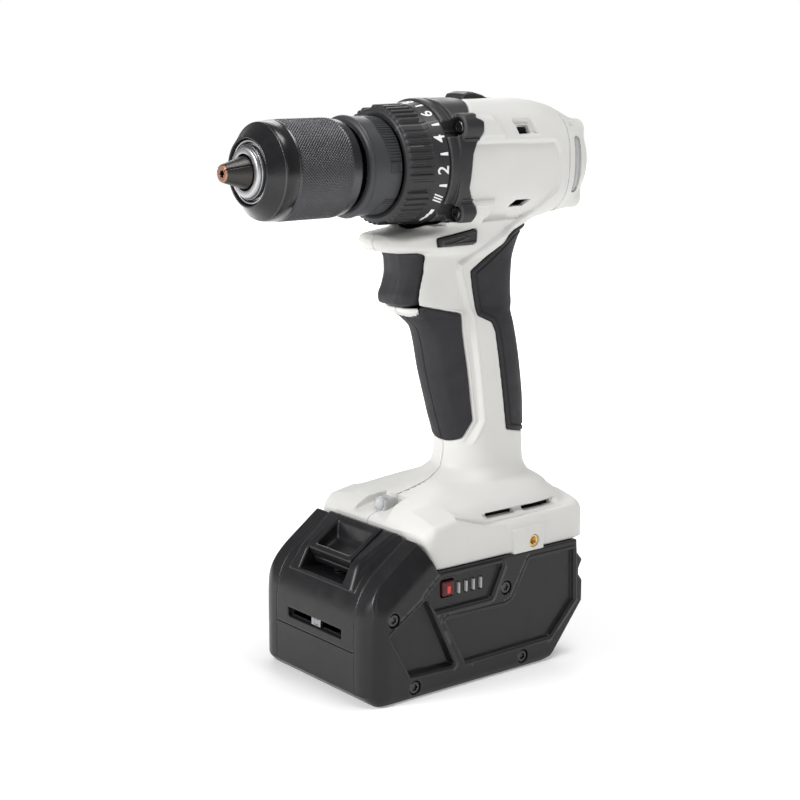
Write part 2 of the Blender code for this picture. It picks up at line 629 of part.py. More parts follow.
def build():
    clear_scene()
    halves(housing_block(), "housing_left", "housing_right")
    rear_cap()
    pads(FRONT_PAD, "front_pad")
    pads(REAR_PAD, "rear_pad")
    gearcase()
    for n, (x, z) in enumerate(((24, 248.3), (22, 210.9), (-24, 248.3), (-22, 210.9))):
        torx_screw(f"gearcase_screw_{n + 1}", (x, 2.7, z), (0, 1, 0))
    for side, label in ((1, "left"), (-1, "right")):
        torx_screw(f"rear_screw_{label}", (side * 15.4, 82.8, 244.4), (0, -1, 0), 2.5, 1.2, 3.8, 1.4)
    clutch_ring()
    mode_collar()
    chuck_body()
    chuck_sleeve()
    nose_ring()
    for index in range(3):
        jaw(f"chuck_jaw_{index + 1}", index)
    spindle()
    gears()
    motor()
    controls()
    electrics()
    battery_upper()
    battery_lower()
    battery_shell(1, "battery_shell_left")
    battery_shell(-1, "battery_shell_right")
    battery_fittings()
    place_origins()
    dress()


def place_origins():
    for name in ("spindle", "planet_carrier", "chuck_body", "chuck_nose_ring", "chuck_sleeve", "clutch_ring", "rotor",
                 "cooling_fan", "chuck_jaw_1", "chuck_jaw_2", "chuck_jaw_3"):
        set_origin(name, (0, 0, AXIS_Z))
    for index in range(3):
        angle = 2 * math.pi * index / 3 + math.pi / 2
        set_origin(f"planet_gear_{index + 1}", (10.3 * math.cos(angle), 10, AXIS_Z + 10.3 * math.sin(angle)))
    set_origin("trigger", (0, -12, 181))
    set_origin("speed_slider", (0, 28, 258))
    set_origin("direction_button", (0, 6, 199.5))
    set_origin("latch_button", (0, -43, 62))
    set_origin("gauge_button", (40, -16, 47))


def dress():
    """Gives every object its own plain material."""
    white = ((0.80, 0.79, 0.76), 0.5, 0.0)
    black = ((0.03, 0.03, 0.033), 0.45, 0.0)
    rubber = ((0.05, 0.05, 0.055), 0.75, 0.0)
    steel = ((0.55, 0.55, 0.57), 0.3, 1.0)
    dark_steel = ((0.09, 0.09, 0.1), 0.35, 1.0)
    copper = ((0.45, 0.3, 0.24), 0.35, 1.0)
    brass = ((0.75, 0.55, 0.2), 0.3, 1.0)
    red = ((0.6, 0.05, 0.04), 0.4, 0.0)
    green = ((0.05, 0.2, 0.08), 0.5, 0.0)
    clear = ((0.8, 0.8, 0.8), 0.15, 0.0)
    looks = {"housing": white, "rear_cap": white, "front_pad": rubber, "rear_pad": rubber, "trigger": black,
             "trigger_spring": steel, "chuck_body": steel, "chuck_nose_ring": steel, "chuck_sleeve": dark_steel,
             "chuck_jaw": dark_steel, "spindle": steel, "planet": steel, "ring_gear": steel, "motor_can": steel,
             "rotor": copper, "hook_insert": brass, "lamp_lens": clear, "gauge_button": red, "control_board": green,
             "battery_board": green, "gearcase_screw": dark_steel, "rear_screw": dark_steel,
             "battery_screw": dark_steel, "latch_spring": steel, "cell_row": green, "gauge_light": clear}
    for obj in bpy.data.objects:
        starts = [key for key in looks if obj.name.startswith(key)]
        colour, roughness, metallic = looks[max(starts, key=len)] if starts else black
        obj.data.materials.clear()
        obj.data.materials.append(paint(obj.name, colour, roughness, metallic))


build()
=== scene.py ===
"""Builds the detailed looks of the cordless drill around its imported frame.

Field functions work in millimetres and return a signed distance that is negative inside a shape. X, Y and Z
may be arrays of any shapes that broadcast together. Meshes are stored in metres, as the frame is. The sizes are
the CAD's, with the photograph's detail added.
"""

import json
import math

import bmesh
import bpy
import numpy as np
from mathutils import Matrix, Vector

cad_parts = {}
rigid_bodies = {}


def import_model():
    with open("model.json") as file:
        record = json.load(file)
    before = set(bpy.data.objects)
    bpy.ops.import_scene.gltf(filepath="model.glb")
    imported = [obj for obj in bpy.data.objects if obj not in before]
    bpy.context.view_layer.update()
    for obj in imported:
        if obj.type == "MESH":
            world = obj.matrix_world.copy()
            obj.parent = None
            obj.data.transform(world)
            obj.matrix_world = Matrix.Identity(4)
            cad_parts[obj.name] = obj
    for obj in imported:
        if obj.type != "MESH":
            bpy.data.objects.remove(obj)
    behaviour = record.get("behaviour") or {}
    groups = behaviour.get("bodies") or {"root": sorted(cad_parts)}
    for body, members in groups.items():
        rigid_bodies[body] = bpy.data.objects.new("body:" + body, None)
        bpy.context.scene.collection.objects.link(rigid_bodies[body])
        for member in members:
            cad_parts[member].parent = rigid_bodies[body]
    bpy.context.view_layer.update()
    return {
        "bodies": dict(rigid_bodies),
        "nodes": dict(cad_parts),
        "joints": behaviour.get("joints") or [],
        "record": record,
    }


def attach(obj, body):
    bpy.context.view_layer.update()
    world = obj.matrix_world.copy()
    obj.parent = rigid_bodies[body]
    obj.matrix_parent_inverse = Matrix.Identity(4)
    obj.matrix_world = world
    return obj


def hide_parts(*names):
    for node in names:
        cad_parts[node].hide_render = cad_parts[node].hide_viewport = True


MM = 0.001
AXIS_Z = 231.7  # height of the chuck's axis, which lies at x = 0 and points along -Y
SEAM = 0.11  # half of the visible joint between the clamshell halves
BATTERY_X = 42.4  # half of the battery's width
BATTERY_FRONT = -60.0
HOOK_Y, HOOK_Z = 35.0, 60.0  # middle of the belt-hook insert on each side
LAMP_Y, LAMP_Z = -21.6, 78.3  # middle of the work light


# ---------------------------------------------------------------- fields

def smooth_max(a, b, radius):
    """The larger value, with the edge between the two rounded."""
    near = np.maximum(radius - np.abs(a - b), 0) / radius
    return np.maximum(a, b) + near * near * radius * 0.25


def smooth_min(a, b, radius):
    """The smaller value, with the corner between the two filled."""
    return -smooth_max(-a, -b, radius)


def carve(shape, cutter, radius=0.5):
    """A shape with a cutter taken out of it, leaving a rounded edge."""
    return smooth_max(shape, -cutter, radius)


def polygon(U, V, outline):
    """Signed distance to a closed polygon in the plane of U and V."""
    nearest, sign = None, None
    for (au, av), (bu, bv) in zip(outline, outline[1:] + outline[:1]):
        eu, ev = bu - au, bv - av
        wu, wv = U - au, V - av
        share = np.clip((wu * eu + wv * ev) / (eu * eu + ev * ev), 0, 1)
        distance = (wu - eu * share) ** 2 + (wv - ev * share) ** 2
        above, below, side = V >= av, V < bv, eu * wv > ev * wu
        flip = np.where((above & below & side) | (~above & ~below & ~side), -1.0, 1.0)
        nearest = distance if nearest is None else np.minimum(nearest, distance)
        sign = flip if sign is None else sign * flip
    return sign * np.sqrt(nearest)


def widened(outline, step):
    """An outline whose sides all stand further out by one step."""
    pairs = list(zip(outline, outline[1:] + outline[:1]))
    area = sum(a[0] * b[1] - b[0] * a[1] for a, b in pairs)
    sign = 1 if area > 0 else -1
    normals = []
    for (ya, za), (yb, zb) in pairs:
        length = math.hypot(yb - ya, zb - za)
        normals.append((sign * (zb - za) / length, sign * (ya - yb) / length))
    found = []
    for n, (y, z) in enumerate(outline):
        (ay, az), (by, bz) = normals[n - 1], normals[n]
        share = step / (1 + ay * by + az * bz)
        found.append((y + share * (ay + by), z + share * (az + bz)))
    return found


def rounded_polygon(U, V, outline, radius):
    """A polygon whose outer corners are rounded."""
    return polygon(U, V, widened(outline, -radius)) - radius


def block(X, Y, Z, low, high, radius=0.5):
    """A box with rounded edges."""
    total, inside = 0.0, None
    for value, a, b in zip((X, Y, Z), low, high):
        out = np.abs(value - (a + b) / 2) - ((b - a) / 2 - radius)
        total = total + np.maximum(out, 0) ** 2
        inside = out if inside is None else np.maximum(inside, out)
    return np.sqrt(total) + np.minimum(inside, 0) - radius


def tube(U, V, W, centre, radius, low, high):
    """A cylinder along W between low and high, round the point centre in U and V."""
    around = np.sqrt((U - centre[0]) ** 2 + (V - centre[1]) ** 2) - radius
    return np.maximum(around, np.maximum(low - W, W - high))


def through(stations, t):
    """Station values read at t from a smooth curve that never overshoots them."""
    table = np.array(stations, float)
    knots, found = table[:, 0], []
    steps = np.diff(knots)
    where = np.clip(t, knots[0], knots[-1])
    index = np.clip(np.searchsorted(knots, where, side="right") - 1, 0, len(knots) - 2)
    share = (where - knots[index]) / steps[index]
    for column in table[:, 1:].T:
        slopes = np.diff(column) / steps
        tangent = np.empty(len(knots))
        tangent[0], tangent[-1] = slopes[0], slopes[-1]
        together = slopes[:-1] * slopes[1:] > 0
        safe = np.where(together, slopes[:-1] + slopes[1:], 1.0)
        tangent[1:-1] = np.where(together, 2 * slopes[:-1] * slopes[1:] / safe, 0.0)
        h, s = steps[index], share
        value = ((1 + 2 * s) * (1 - s) ** 2 * column[index] + s * (1 - s) ** 2 * h * tangent[index]
                 + s * s * (3 - 2 * s) * column[index + 1] + s * s * (s - 1) * h * tangent[index + 1])
        found.append(value)
    return found


def oval(U, V, half_u, half_v, power):
    """Distance from a squared-off oval, measured towards its middle."""
    around = np.sqrt(U * U + V * V) + 1e-6
    share = ((np.abs(U) / half_u) ** power + (np.abs(V) / half_v) ** power) ** (1 / power) + 1e-6
    return around - around / share


# ---------------------------------------------------------------- meshes

def surface_net(values, axes):
    """Points and quads on the zero surface of a grid of values, one point to each cell that it crosses."""
    inside = values < 0
    cells = tuple(n - 1 for n in values.shape)
    corners = [(i, j, k) for i in (0, 1) for j in (0, 1) for k in (0, 1)]
    count = np.zeros(cells, np.uint8)
    for i, j, k in corners:
        count += inside[i:i + cells[0], j:j + cells[1], k:k + cells[2]]
    active = (count > 0) & (count < 8)
    at = np.argwhere(active)
    number = np.full(cells, -1, np.int32)
    number[active] = np.arange(len(at), dtype=np.int32)
    worth = {c: values[at[:, 0] + c[0], at[:, 1] + c[1], at[:, 2] + c[2]] for c in corners}
    total, crossings = np.zeros((len(at), 3)), np.zeros(len(at))
    for c in corners:
        for axis in range(3):
            if c[axis]:
                continue
            d = tuple(1 if n == axis else c[n] for n in range(3))
            a, b = worth[c], worth[d]
            crossed = (a < 0) != (b < 0)
            share = np.where(crossed, a / np.where(crossed, a - b, 1), 0)
            point = np.tile(np.array(c, float), (len(at), 1))
            point[:, axis] += share
            total += point * crossed[:, None]
            crossings += crossed
    local = at + total / crossings[:, None]
    steps = np.array([axis[1] - axis[0] for axis in axes])
    points = np.array([axis[0] for axis in axes]) + local * steps
    quads = []
    for axis in range(3):
        u, v = (axis + 1) % 3, (axis + 2) % 3
        near = [slice(1, -1)] * 3
        far = [slice(1, -1)] * 3
        near[axis], far[axis] = slice(0, -1), slice(1, None)
        first, second = inside[tuple(near)], inside[tuple(far)]
        where = np.argwhere(first != second)
        out = first[first != second]
        offset = np.ones(3, int)
        offset[axis] = 0
        where = where + offset
        ring = []
        for du, dv in ((-1, -1), (0, -1), (0, 0), (-1, 0)):
            cell = where.copy()
            cell[:, u] += du
            cell[:, v] += dv
            ring.append(number[cell[:, 0], cell[:, 1], cell[:, 2]])
        ring = np.stack(ring, axis=1)
        ring[~out] = ring[~out][:, ::-1]
        quads.append(ring)
    return points, np.concatenate(quads)


def gradient(field, points, reach=0.08):
    """The slope of a field at each point, from its values a little ahead and behind."""
    found = np.empty_like(points)
    for axis in range(3):
        ahead, behind = points.copy(), points.copy()
        ahead[:, axis] += reach
        behind[:, axis] -= reach
        found[:, axis] = (field(*ahead.T) - field(*behind.T)) / (2 * reach)
    return found


def field_mesh(name, field, low, high, step):
    """An object on the zero surface of a field,
    with its points settled there and its normals from the field."""
    axes = [np.arange(a - 2 * step, b + 3 * step, step) for a, b in zip(low, high)]
    grids = (axes[0][:, None, None], axes[1][None, :, None], axes[2][None, None, :])
    shape = tuple(len(axis) for axis in axes)
    values = np.broadcast_to(field(*grids), shape).astype(np.float32)
    points, quads = surface_net(values, axes)
    for _ in range(3):
        slope = gradient(field, points)
        size = np.maximum((slope ** 2).sum(1), 0.04)
        move = -(field(*points.T) / size)[:, None] * slope
        length = np.linalg.norm(move, axis=1, keepdims=True)
        points = points + move * np.minimum(1, 0.45 * step / np.maximum(length, 1e-9))
    slope = gradient(field, points, 0.12)
    normals = slope / np.maximum(np.linalg.norm(slope, axis=1, keepdims=True), 1e-9)
    return mesh_object(name, points, quads, normals)


def mesh_object(name, points, faces, normals=None):
    """A smooth-shaded object from points in millimetres and faces of equal size."""
    faces = np.asarray(faces, np.int32)
    mesh = bpy.data.meshes.new(name)
    mesh.vertices.add(len(points))
    mesh.vertices.foreach_set("co", (np.asarray(points) * MM).astype(np.float32).ravel())
    mesh.loops.add(faces.size)
    mesh.loops.foreach_set("vertex_index", faces.ravel())
    mesh.polygons.add(len(faces))
    mesh.polygons.foreach_set("loop_start", np.arange(0, faces.size, faces.shape[1], dtype=np.int32))
    mesh.polygons.foreach_set("use_smooth", np.ones(len(faces), bool))
    mesh.update(calc_edges=True)
    if normals is not None:
        mesh.normals_split_custom_set_from_vertices([tuple(n) for n in normals])
    obj = bpy.data.objects.new(name, mesh)
    bpy.context.scene.collection.objects.link(obj)
    return obj


def mirrored(obj, name):
    """A copy of an object, mirrored through the mid-plane."""
    count = len(obj.data.vertices)
    points = np.empty(count * 3, np.float32)
    obj.data.vertices.foreach_get("co", points)
    points = points.reshape(-1, 3) / MM
    points[:, 0] *= -1
    size = len(obj.data.polygons[0].vertices)
    faces = np.empty(len(obj.data.loops), np.int32)
    obj.data.loops.foreach_get("vertex_index", faces)
    normals = np.empty(len(obj.data.loops) * 3, np.float32)
    obj.data.corner_normals.foreach_get("vector", normals)
    by_point = np.zeros((count, 3))
    by_point[faces] = normals.reshape(-1, 3)
    by_point[:, 0] *= -1
    made = mesh_object(name, points, faces.reshape(-1, size)[:, ::-1], by_point)
    for material in obj.data.materials:
        made.data.materials.append(material)
    return made


# ---------------------------------------------------------------- housing

# (y, half-width, bottom z, top z, roundness) along the barrel.
BARREL = [(-1, 28.6, 203.2, 260.0, 2.6), (40, 29.2, 203, 260.2, 2.7), (52, 29.2, 203.5, 259.4, 2.8),
          (64, 28.6, 205, 257.4, 2.7), (72, 27, 207, 254.6, 2.6), (79, 23.8, 209.5, 251, 2.5),
          (84, 20.6, 213, 247.4, 2.4), (88, 14.5, 219, 243, 2.3)]
# (y, half-width, bottom z, top z, roundness) along the chin under the torque ring.
CHIN = [(-26.4, 9, 195.6, 200.6, 2.4), (-25, 13, 194.2, 201.8, 2.6), (-19, 17, 193, 202.3, 3.2),
        (-8, 19.6, 192.5, 203.4, 4), (6, 21, 191, 206.0, 4), (30, 21.3, 190, 212, 3)]
# (z, front y, rear y, half-width, roundness) up the roof of the foot, the neck and the grip.
HANDLE = [(72, -29.6, 67.6, 38.0, 5), (75, -27.2, 67, 36.8, 4.4), (78, -23.8, 65.6, 34.8, 4),
          (80, -20, 63.5, 32.6, 3.8), (82.4, -6, 61.5, 28.6, 4), (86, 7, 58.8, 22, 2.6),
          (92, 13.6, 58, 19, 2.2), (100, 14.8, 57.6, 18.4, 2.2), (117, 10.3, 57.3, 18.8, 2.2),
          (136, 4.9, 55.3, 19, 2.2), (156, 0, 51.5, 18.6, 2.2), (162, -6, 49.8, 18, 2.3),
          (167, -13.4, 48.4, 16.8, 3.2), (172, -13.4, 47, 16.9, 3.6), (186, -9.8, 46.6, 18, 3.6),
          (196, -9, 50.4, 19.6, 3), (206, -8, 54, 21.5, 3)]
CAP_Y = 66.0  # where the clamshell ends and the rear cap starts
GRIP_BLEND = 8.0
PAD_BED, PAD_BACK = 2.8, 2.6  # depth of a pad's bed in the handle, and of the pad's own back
PAINTED_SHADE_DEPTH = 2.3  # openings deeper than this get painted shade inside
CAP_SCREW_X = 15.4
# (z, end of the post, floor of its socket, underside of the screw's head) of the rear cap's screws.
CAP_POSTS = ((244.4, 82.4, 79.4, 81.1), (213.6, 81.0, 78.4, 79.7))
# Side outlines, as (y, z) pairs.
FLANGE_EDGE = [(20, 262.2), (14, 257), (9.5, 252.4), (13.2, 250.8), (13.2, 246), (11, 242.5), (8, 236.5),
               (6.4, 222), (9.6, 215), (11, 211), (9, 206.6)]
FRONT_PAD = [(11.6, 164.4), (20.6, 113.6), (17.6, 105.4), (12.6, 101.4), (4, 99.6), (-20, 99), (-20, 157),
             (-6.4, 160.8), (-9.6, 169.4)]
REAR_PAD = [(48, 202.5), (41, 200.6), (16, 183.6), (20.6, 163.2), (28.4, 159.6), (30.7, 155), (38, 108.3),
            (80, 98), (80, 203)]
BUTTON = [(-4.2, 199.4), (-3.8, 196.3), (15.8, 196.6), (16.2, 202.8)]
# The sunk middle of the side: the six-sided field, open below, and the front of the grip.
SUNK = [(3.6, 236.4), (10.2, 241.6), (57.4, 240.8), (60.4, 235), (60.2, 220.2), (48.8, 209.4), (9.2, 187.4),
        (8.8, 184.3), (16.6, 162.2), (23.8, 113.6), (19.6, 102.6), (13, 98.2), (-40, 97), (-40, 206),
        (18.6, 206), (22.6, 215.8), (11.4, 215.6), (4, 222.6)]


def ramp(t):
    """A smooth step from 0 to 1."""
    t = np.clip(t, 0, 1)
    return t * t * (3 - 2 * t)


def barrel(X, Y, Z):
    """The motor housing, which swells and tapers to the rear."""
    half, bottom, top, power = through(BARREL, Y)
    shape = oval(X, Z - (top + bottom) / 2, half, (top - bottom) / 2, power)
    return smooth_max(shape, Y - 88, 3.0)


def chin(X, Y, Z):
    """The shelf over the trigger, under the torque ring."""
    half, bottom, top, power = through(CHIN, Y)
    shape = oval(X, Z - (top + bottom) / 2, half, (top - bottom) / 2, power)
    return smooth_max(smooth_max(shape, -26.4 - Y, 3.5), Y - 34, 4.0)


def grip(X, Y, Z):
    """The handle and its neck, down into the foot's roof."""
    front, rear, half, power = through(HANDLE, Z)
    shape = oval(X, Y - (front + rear) / 2, half, (rear - front) / 2, power)
    return np.maximum(shape, Z - 206)


def foot(X, Y, Z):
    """The box over the battery, whose front slopes with the battery's raised end."""
    plan = oval(X, Y - 20.6, 40.8, 48.8, 14)
    roof = np.interp(Y, (-31, -27, -22, -9, 7, 10.5, 60), (70.6, 74.0, 78.0, 80.2, 76.4, 75.2, 75.2))
    fall = 0.16 * np.clip(np.abs(X) - 22, 0, 30) ** 1.1  # the roof falls away to the sides
    shape = smooth_max(plan, (Z - roof) * 0.95 + fall - 1.2, 4.5)
    slope = (Y + 22.0) * -0.88 + (Z - 56.0) * -0.475
    shape = smooth_max(shape, slope, 1.5)
    return smooth_max(shape, 56.3 - Z, 0.8)


def side_relief(Y, Z):
    """How far the moulded steps on each side stand out, in millimetres."""
    edge = rounded_polygon(Y, Z, SUNK, 1.2)
    sunk = -1.5 * sunk_share(Y, Z) + 0.35 * ramp(1 - np.abs(edge - 1.6) / 1.0)
    upper = polygon(Y, Z, [(4, 252.4), (22.4, 252.4), (26.8, 243.4), (4, 243.4)])
    lower = polygon(Y, Z, [(4, 215.2), (23.4, 215.2), (19.2, 207.6), (4, 207.6)])
    ledges = 2.0 * ramp(0.35 - upper / 2.4) + 2.0 * ramp(0.35 - lower / 2.4)
    pocket = polygon(Y, Z, [(33.4, 250.4), (43.6, 250.4), (47, 244.1), (35.6, 244.1)])
    scoop = -2.0 * ramp(0.4 - pocket / 1.8)
    rim = np.abs(rounded_polygon(Y, Z, widened(FRONT_PAD, 1.0), 0.8))
    lip = 0.5 * ramp(1 - rim / 0.9) * ramp((168 - Z) / 3)
    return sunk + ledges + scoop + lip


def palm(X, Y, Z):
    """The barrel and the grip together."""
    return smooth_min(smooth_max(barrel(X, Y, Z), 4.0 - Y, 2.0), grip(X, Y, Z), GRIP_BLEND)


def skin(X, Y, Z):
    """The outer surface of the barrel, chin, grip and foot, before any opening."""
    shape = palm(X, Y, Z)
    shape = smooth_min(shape, chin(X, Y, Z), 5.0)
    side = ramp((np.abs(X) - 9) / 6) * ramp((Z - 100) / 6)
    shape = shape - side_relief(Y, Z) * side
    roof = ramp((Z - 75.4) / 0.7)
    shape = np.where(Z < 90, smooth_min(shape + (1 - roof) * 3.0 * ramp((Y - 7) / 4) * ramp((56 - Y) / 4),
                                        foot(X, Y, Z), 2.2), shape)
    return shape


def hook_boss(X, Y, Z):
    """The boss round the belt-hook insert, under its rounded cowl."""
    boss = block(X, Y, Z, (34, 22.0, 50), (42.1, 41, 67.2), 0.8)
    cowl = block(X, Y, Z, (34, 18.6, 56), (41.2, 41, 70.6), 2.2)
    return smooth_min(boss, cowl, 0.6)


def housing_cuts(X, Y, Z):
    """Each opening in the clamshell in turn, with the radius of its edge."""
    step = polygon(Y, Z, [(-9.4, 81), (7, 76.6), (10, 74.4), (60, 74.4), (60, 73.2), (8, 71.6), (-9, 77)])
    yield np.maximum(step - 0.4, 37.8 - X), 0.5
    for low, high in ((11.6, 28.2), (33.4, 52.4)):
        yield block(X, Y, Z, (30, low, 73.2), (50, high, 75.1), 0.4), 0.5
    yield np.maximum(CAP_Y - 0.12 - Y, 190 - Z), 0.4
    yield rounded_polygon(Y, Z, [(-60, 300), (20.4, 300), *widened_edge(0.22), (-60, 206.6)], 1.2), 0.5
    yield tube(X, Z, Y, (0, AXIS_Z), 28.9, -60, 5), 0.8
    yield trigger_room(X, Y, Z), 0.9
    yield polygon(Y, Z, [(-60, 40), (-60, 90), (-39.8, 82.6), (-31.2, 69.8), (-22.2, 55), (-22, 40)]), 0.4
    button = rounded_polygon(Y, Z, widened(BUTTON, 0.4), 0.9)
    yield smooth_max(button, 15.5 - np.abs(X), 0.4), 0.5
    yield top_recess(X, Y, Z), 0.8
    yield block(X, Y, Z, (22, 36.2, 244.2), (40, 43.2, 247.8), 0.4), 0.4
    slit = polygon(Y, Z, [(33.6, 212), (36.4, 214.9), (45.2, 214.9), (42, 212)])
    yield np.maximum(slit, 14 - X), 0.4
    yield tube(Y, Z, X, (HOOK_Y, HOOK_Z), 3.0, 34, 50), 0.5
    yield lamp_recess(X, Y, Z), 0.5
    for outline in (FRONT_PAD, REAR_PAD):
        yield pad_region(X, Y, Z, outline, 0.25), 0.5
    yield tube(X, Z, Y, (0, AXIS_Z), 23.6, 0, 64), 0.5
    yield np.maximum(foot_inside(X, Y, Z), 54 - Z), 0.5


def housing_field(X, Y, Z):
    """The left clamshell, which the right one mirrors."""
    shape = smooth_min(skin(X, Y, Z), hook_boss(X, Y, Z), 0.8)
    for cutter, radius in housing_cuts(X, Y, Z):
        shape = carve(shape, cutter, radius)
    return smooth_max(shape, SEAM - X, 0.45)


def trigger_room(X, Y, Z):
    """The space that the trigger moves in, open to the front."""
    return block(X, Y, Z, (-11.7, -50, 168.2), (11.7, 5.4, 193), 1.6)


def foot_inside(X, Y, Z):
    """The hollow of the foot, open towards the battery."""
    return block(X, Y, Z, (-37, -13, 30), (37, 62, 71.0), 3.0)


def widened_edge(step):
    """The gearcase's rear edge, moved to the rear by one step."""
    return [(y + step, z) for y, z in FLANGE_EDGE]


def top_recess(X, Y, Z):
    """The trough that the speed slider runs in, with a deeper slot behind the slider."""
    trough = block(X, Y, Z, (-8.4, 14, 257.9), (8.4, 52, 280), 1.4)
    slot = block(X, Y, Z, (-5.8, 22, 250), (5.8, 46.4, 262), 0.8)
    return np.minimum(trough, slot)


def lamp_recess(X, Y, Z):
    """The sloping four-sided well round the work light, wider towards the battery."""
    wide = np.abs(X) - (7.6 + 0.3 * np.clip(-12.5 - Y, 0, 30))
    shape = smooth_max(wide, Y + 12.5, 0.4)
    floor = 79.2 + 0.36 * (Y + 12.5) - Z
    return smooth_max(shape, np.maximum(floor, Z - 92), 0.4)


def pad_region(X, Y, Z, outline, grow):
    """The bed of a grip pad: the handle's wall inside a side outline."""
    side = rounded_polygon(Y, Z, widened(outline, grow), 1.0)
    return smooth_max(-palm(X, Y, Z) - PAD_BED, side, 0.4)


def pad_field(outline, ridge):
    """A rubber pad that stands just proud of the handle, with a sunk line inside its edge."""
    def field(X, Y, Z):
        wall = palm(X, Y, Z) + 1.3 * ramp((np.abs(X) - 9) / 6) * sunk_share(Y, Z)
        side = rounded_polygon(Y, Z, outline, 1.0)
        crown = 0.55 - 0.7 * ramp(1 - np.abs(side + 2.6) / 0.9) * ridge
        shape = smooth_max(wall - crown, side, 1.3)
        shape = smooth_max(shape, -palm(X, Y, Z) - PAD_BACK, 0.3)
        shape = carve(shape, trigger_room(X, Y, Z) - 0.4, 0.8)
        return smooth_max(shape, SEAM - X, 0.6)
    return field


def sunk_share(Y, Z):
    """1 in the sunk middle of the side, 0 outside it."""
    return ramp(0.5 - rounded_polygon(Y, Z, SUNK, 1.2) / 2.0)


def build_housing():
    """The two clamshell halves and the two halves of each grip pad."""
    pieces = {}
    left = field_mesh("Housing_Left", housing_field, (-0.2, -34.5, 56), (42.6, 70, 262), 0.76)
    pieces["housing_left"] = left
    pieces["housing_right"] = mirrored(left, "Housing_Right")
    pads = (("Front_Pad", FRONT_PAD, 0.0, (-0.2, -14, 100), (20, 20, 172)),
            ("Rear_Pad", REAR_PAD, 1.0, (-0.2, 14, 97), (22.6, 60, 204)))
    for label, outline, ridge, low, high in pads:
        pad = field_mesh(label + "_Left", pad_field(outline, ridge), low, high, 0.5)
        key = label.lower()
        pieces[key + "_left"] = pad
        pieces[key + "_right"] = mirrored(pad, label + "_Right")
    return pieces


def cap_slot(X, Y, Z, depth, half_width):
    """The tall slot in each side of the cap, as deep as asked under the cap's skin."""
    A = np.abs(X)
    slot = smooth_max(np.abs(Y - 73.2) - half_width, np.abs(Z - 229.3) - half_width - 9.7, 2.5)
    return np.maximum(np.maximum(slot, -depth - barrel(X, Y, Z)), 14 - A)


def slot_insert_field(X, Y, Z):
    """The pale louvred insert in the bottom of the cap's slot."""
    shape = np.maximum(cap_slot(X, Y, Z, 2.6, 2.75), barrel(X, Y, Z) + 0.75)
    frame = np.abs(smooth_max(np.abs(Y - 73.2) - 1.7, np.abs(Z - 229.3) - 11.2, 1.5)) - 0.18
    return carve(shape, np.maximum(frame, -1.05 - barrel(X, Y, Z)), 0.2)


def cap_field(X, Y, Z):
    """The motor cap with its four screw bosses and its curved side slots."""
    A = np.abs(X)
    shape = palm(X, Y, Z)
    for z, end, _, _ in CAP_POSTS:
        around = np.sqrt((A - CAP_SCREW_X) ** 2 + (Z - z) ** 2) - 5.2
        post = smooth_max(around, Y - end, 1.2)
        shape = smooth_min(shape, post, 2.6)
    shape = smooth_max(shape, CAP_Y + 0.12 - Y, 0.4)
    facet = block(A, Y, Z, (21, 69.5, 246), (40, 76, 250.6), 0.6)
    shape = carve(shape, facet, 0.8)
    shape = carve(shape, cap_slot(X, Y, Z, 1.5, 3.0), 0.5)
    for z, _, floor, _ in CAP_POSTS:
        shape = carve(shape, tube(A, Z, Y, (CAP_SCREW_X, z), 2.9, floor, 95), 0.4)
    return shape


# ---------------------------------------------------------------- gearcase and rings

SCREWS = ((24, 248.3), (22, 210.9))  # (x, z) of the gearcase's screws on each side


def gearcase_field(X, Y, Z):
    """The black front casting, whose rear edge zigzags over the housing."""
    A = np.abs(X)
    shape = np.maximum(barrel(X, Y, Z), 0.4 - Y)
    rim = np.sqrt(X * X + (Z - AXIS_Z) ** 2) - 28.5
    shape = smooth_min(shape, smooth_max(rim, np.maximum(-4.2 - Y, Y - 5), 0.8), 0.6)
    for (x, z), end in zip(SCREWS, (13.0, 11.0)):
        post = np.sqrt((A - x) ** 2 + (Z - z) ** 2) - 6.0
        shape = smooth_min(shape, smooth_max(post, np.maximum(2.2 - Y, Y - end), 0.8), 1.0)
        wing = block(A, Y, Z, (x - 8, 3.6, z - 5.6), (x + 3.6, end, z + 5.2), 1.0)
        shape = smooth_min(shape, wing, 0.8)
    edge = polygon(Y, Z, [(-60, 300), (20, 300), *FLANGE_EDGE, (-60, 206.6)])
    shape = smooth_max(shape, edge, 0.9)
    rib = np.minimum(np.abs(Z - 242.9), np.abs(Z - 216.6)) - 0.5
    shape = smooth_min(shape, smooth_max(rib, smooth_max(shape - 0.5, 3.0 - Y, 0.5), 0.4), 0.4)
    for x, z in SCREWS:
        shape = carve(shape, tube(A, Z, Y, (x, z), 4.1, -5, 4.4), 0.6)
    bore = np.sqrt(X * X + (Z - AXIS_Z) ** 2) - 24.6
    return carve(shape, bore, 0.4)


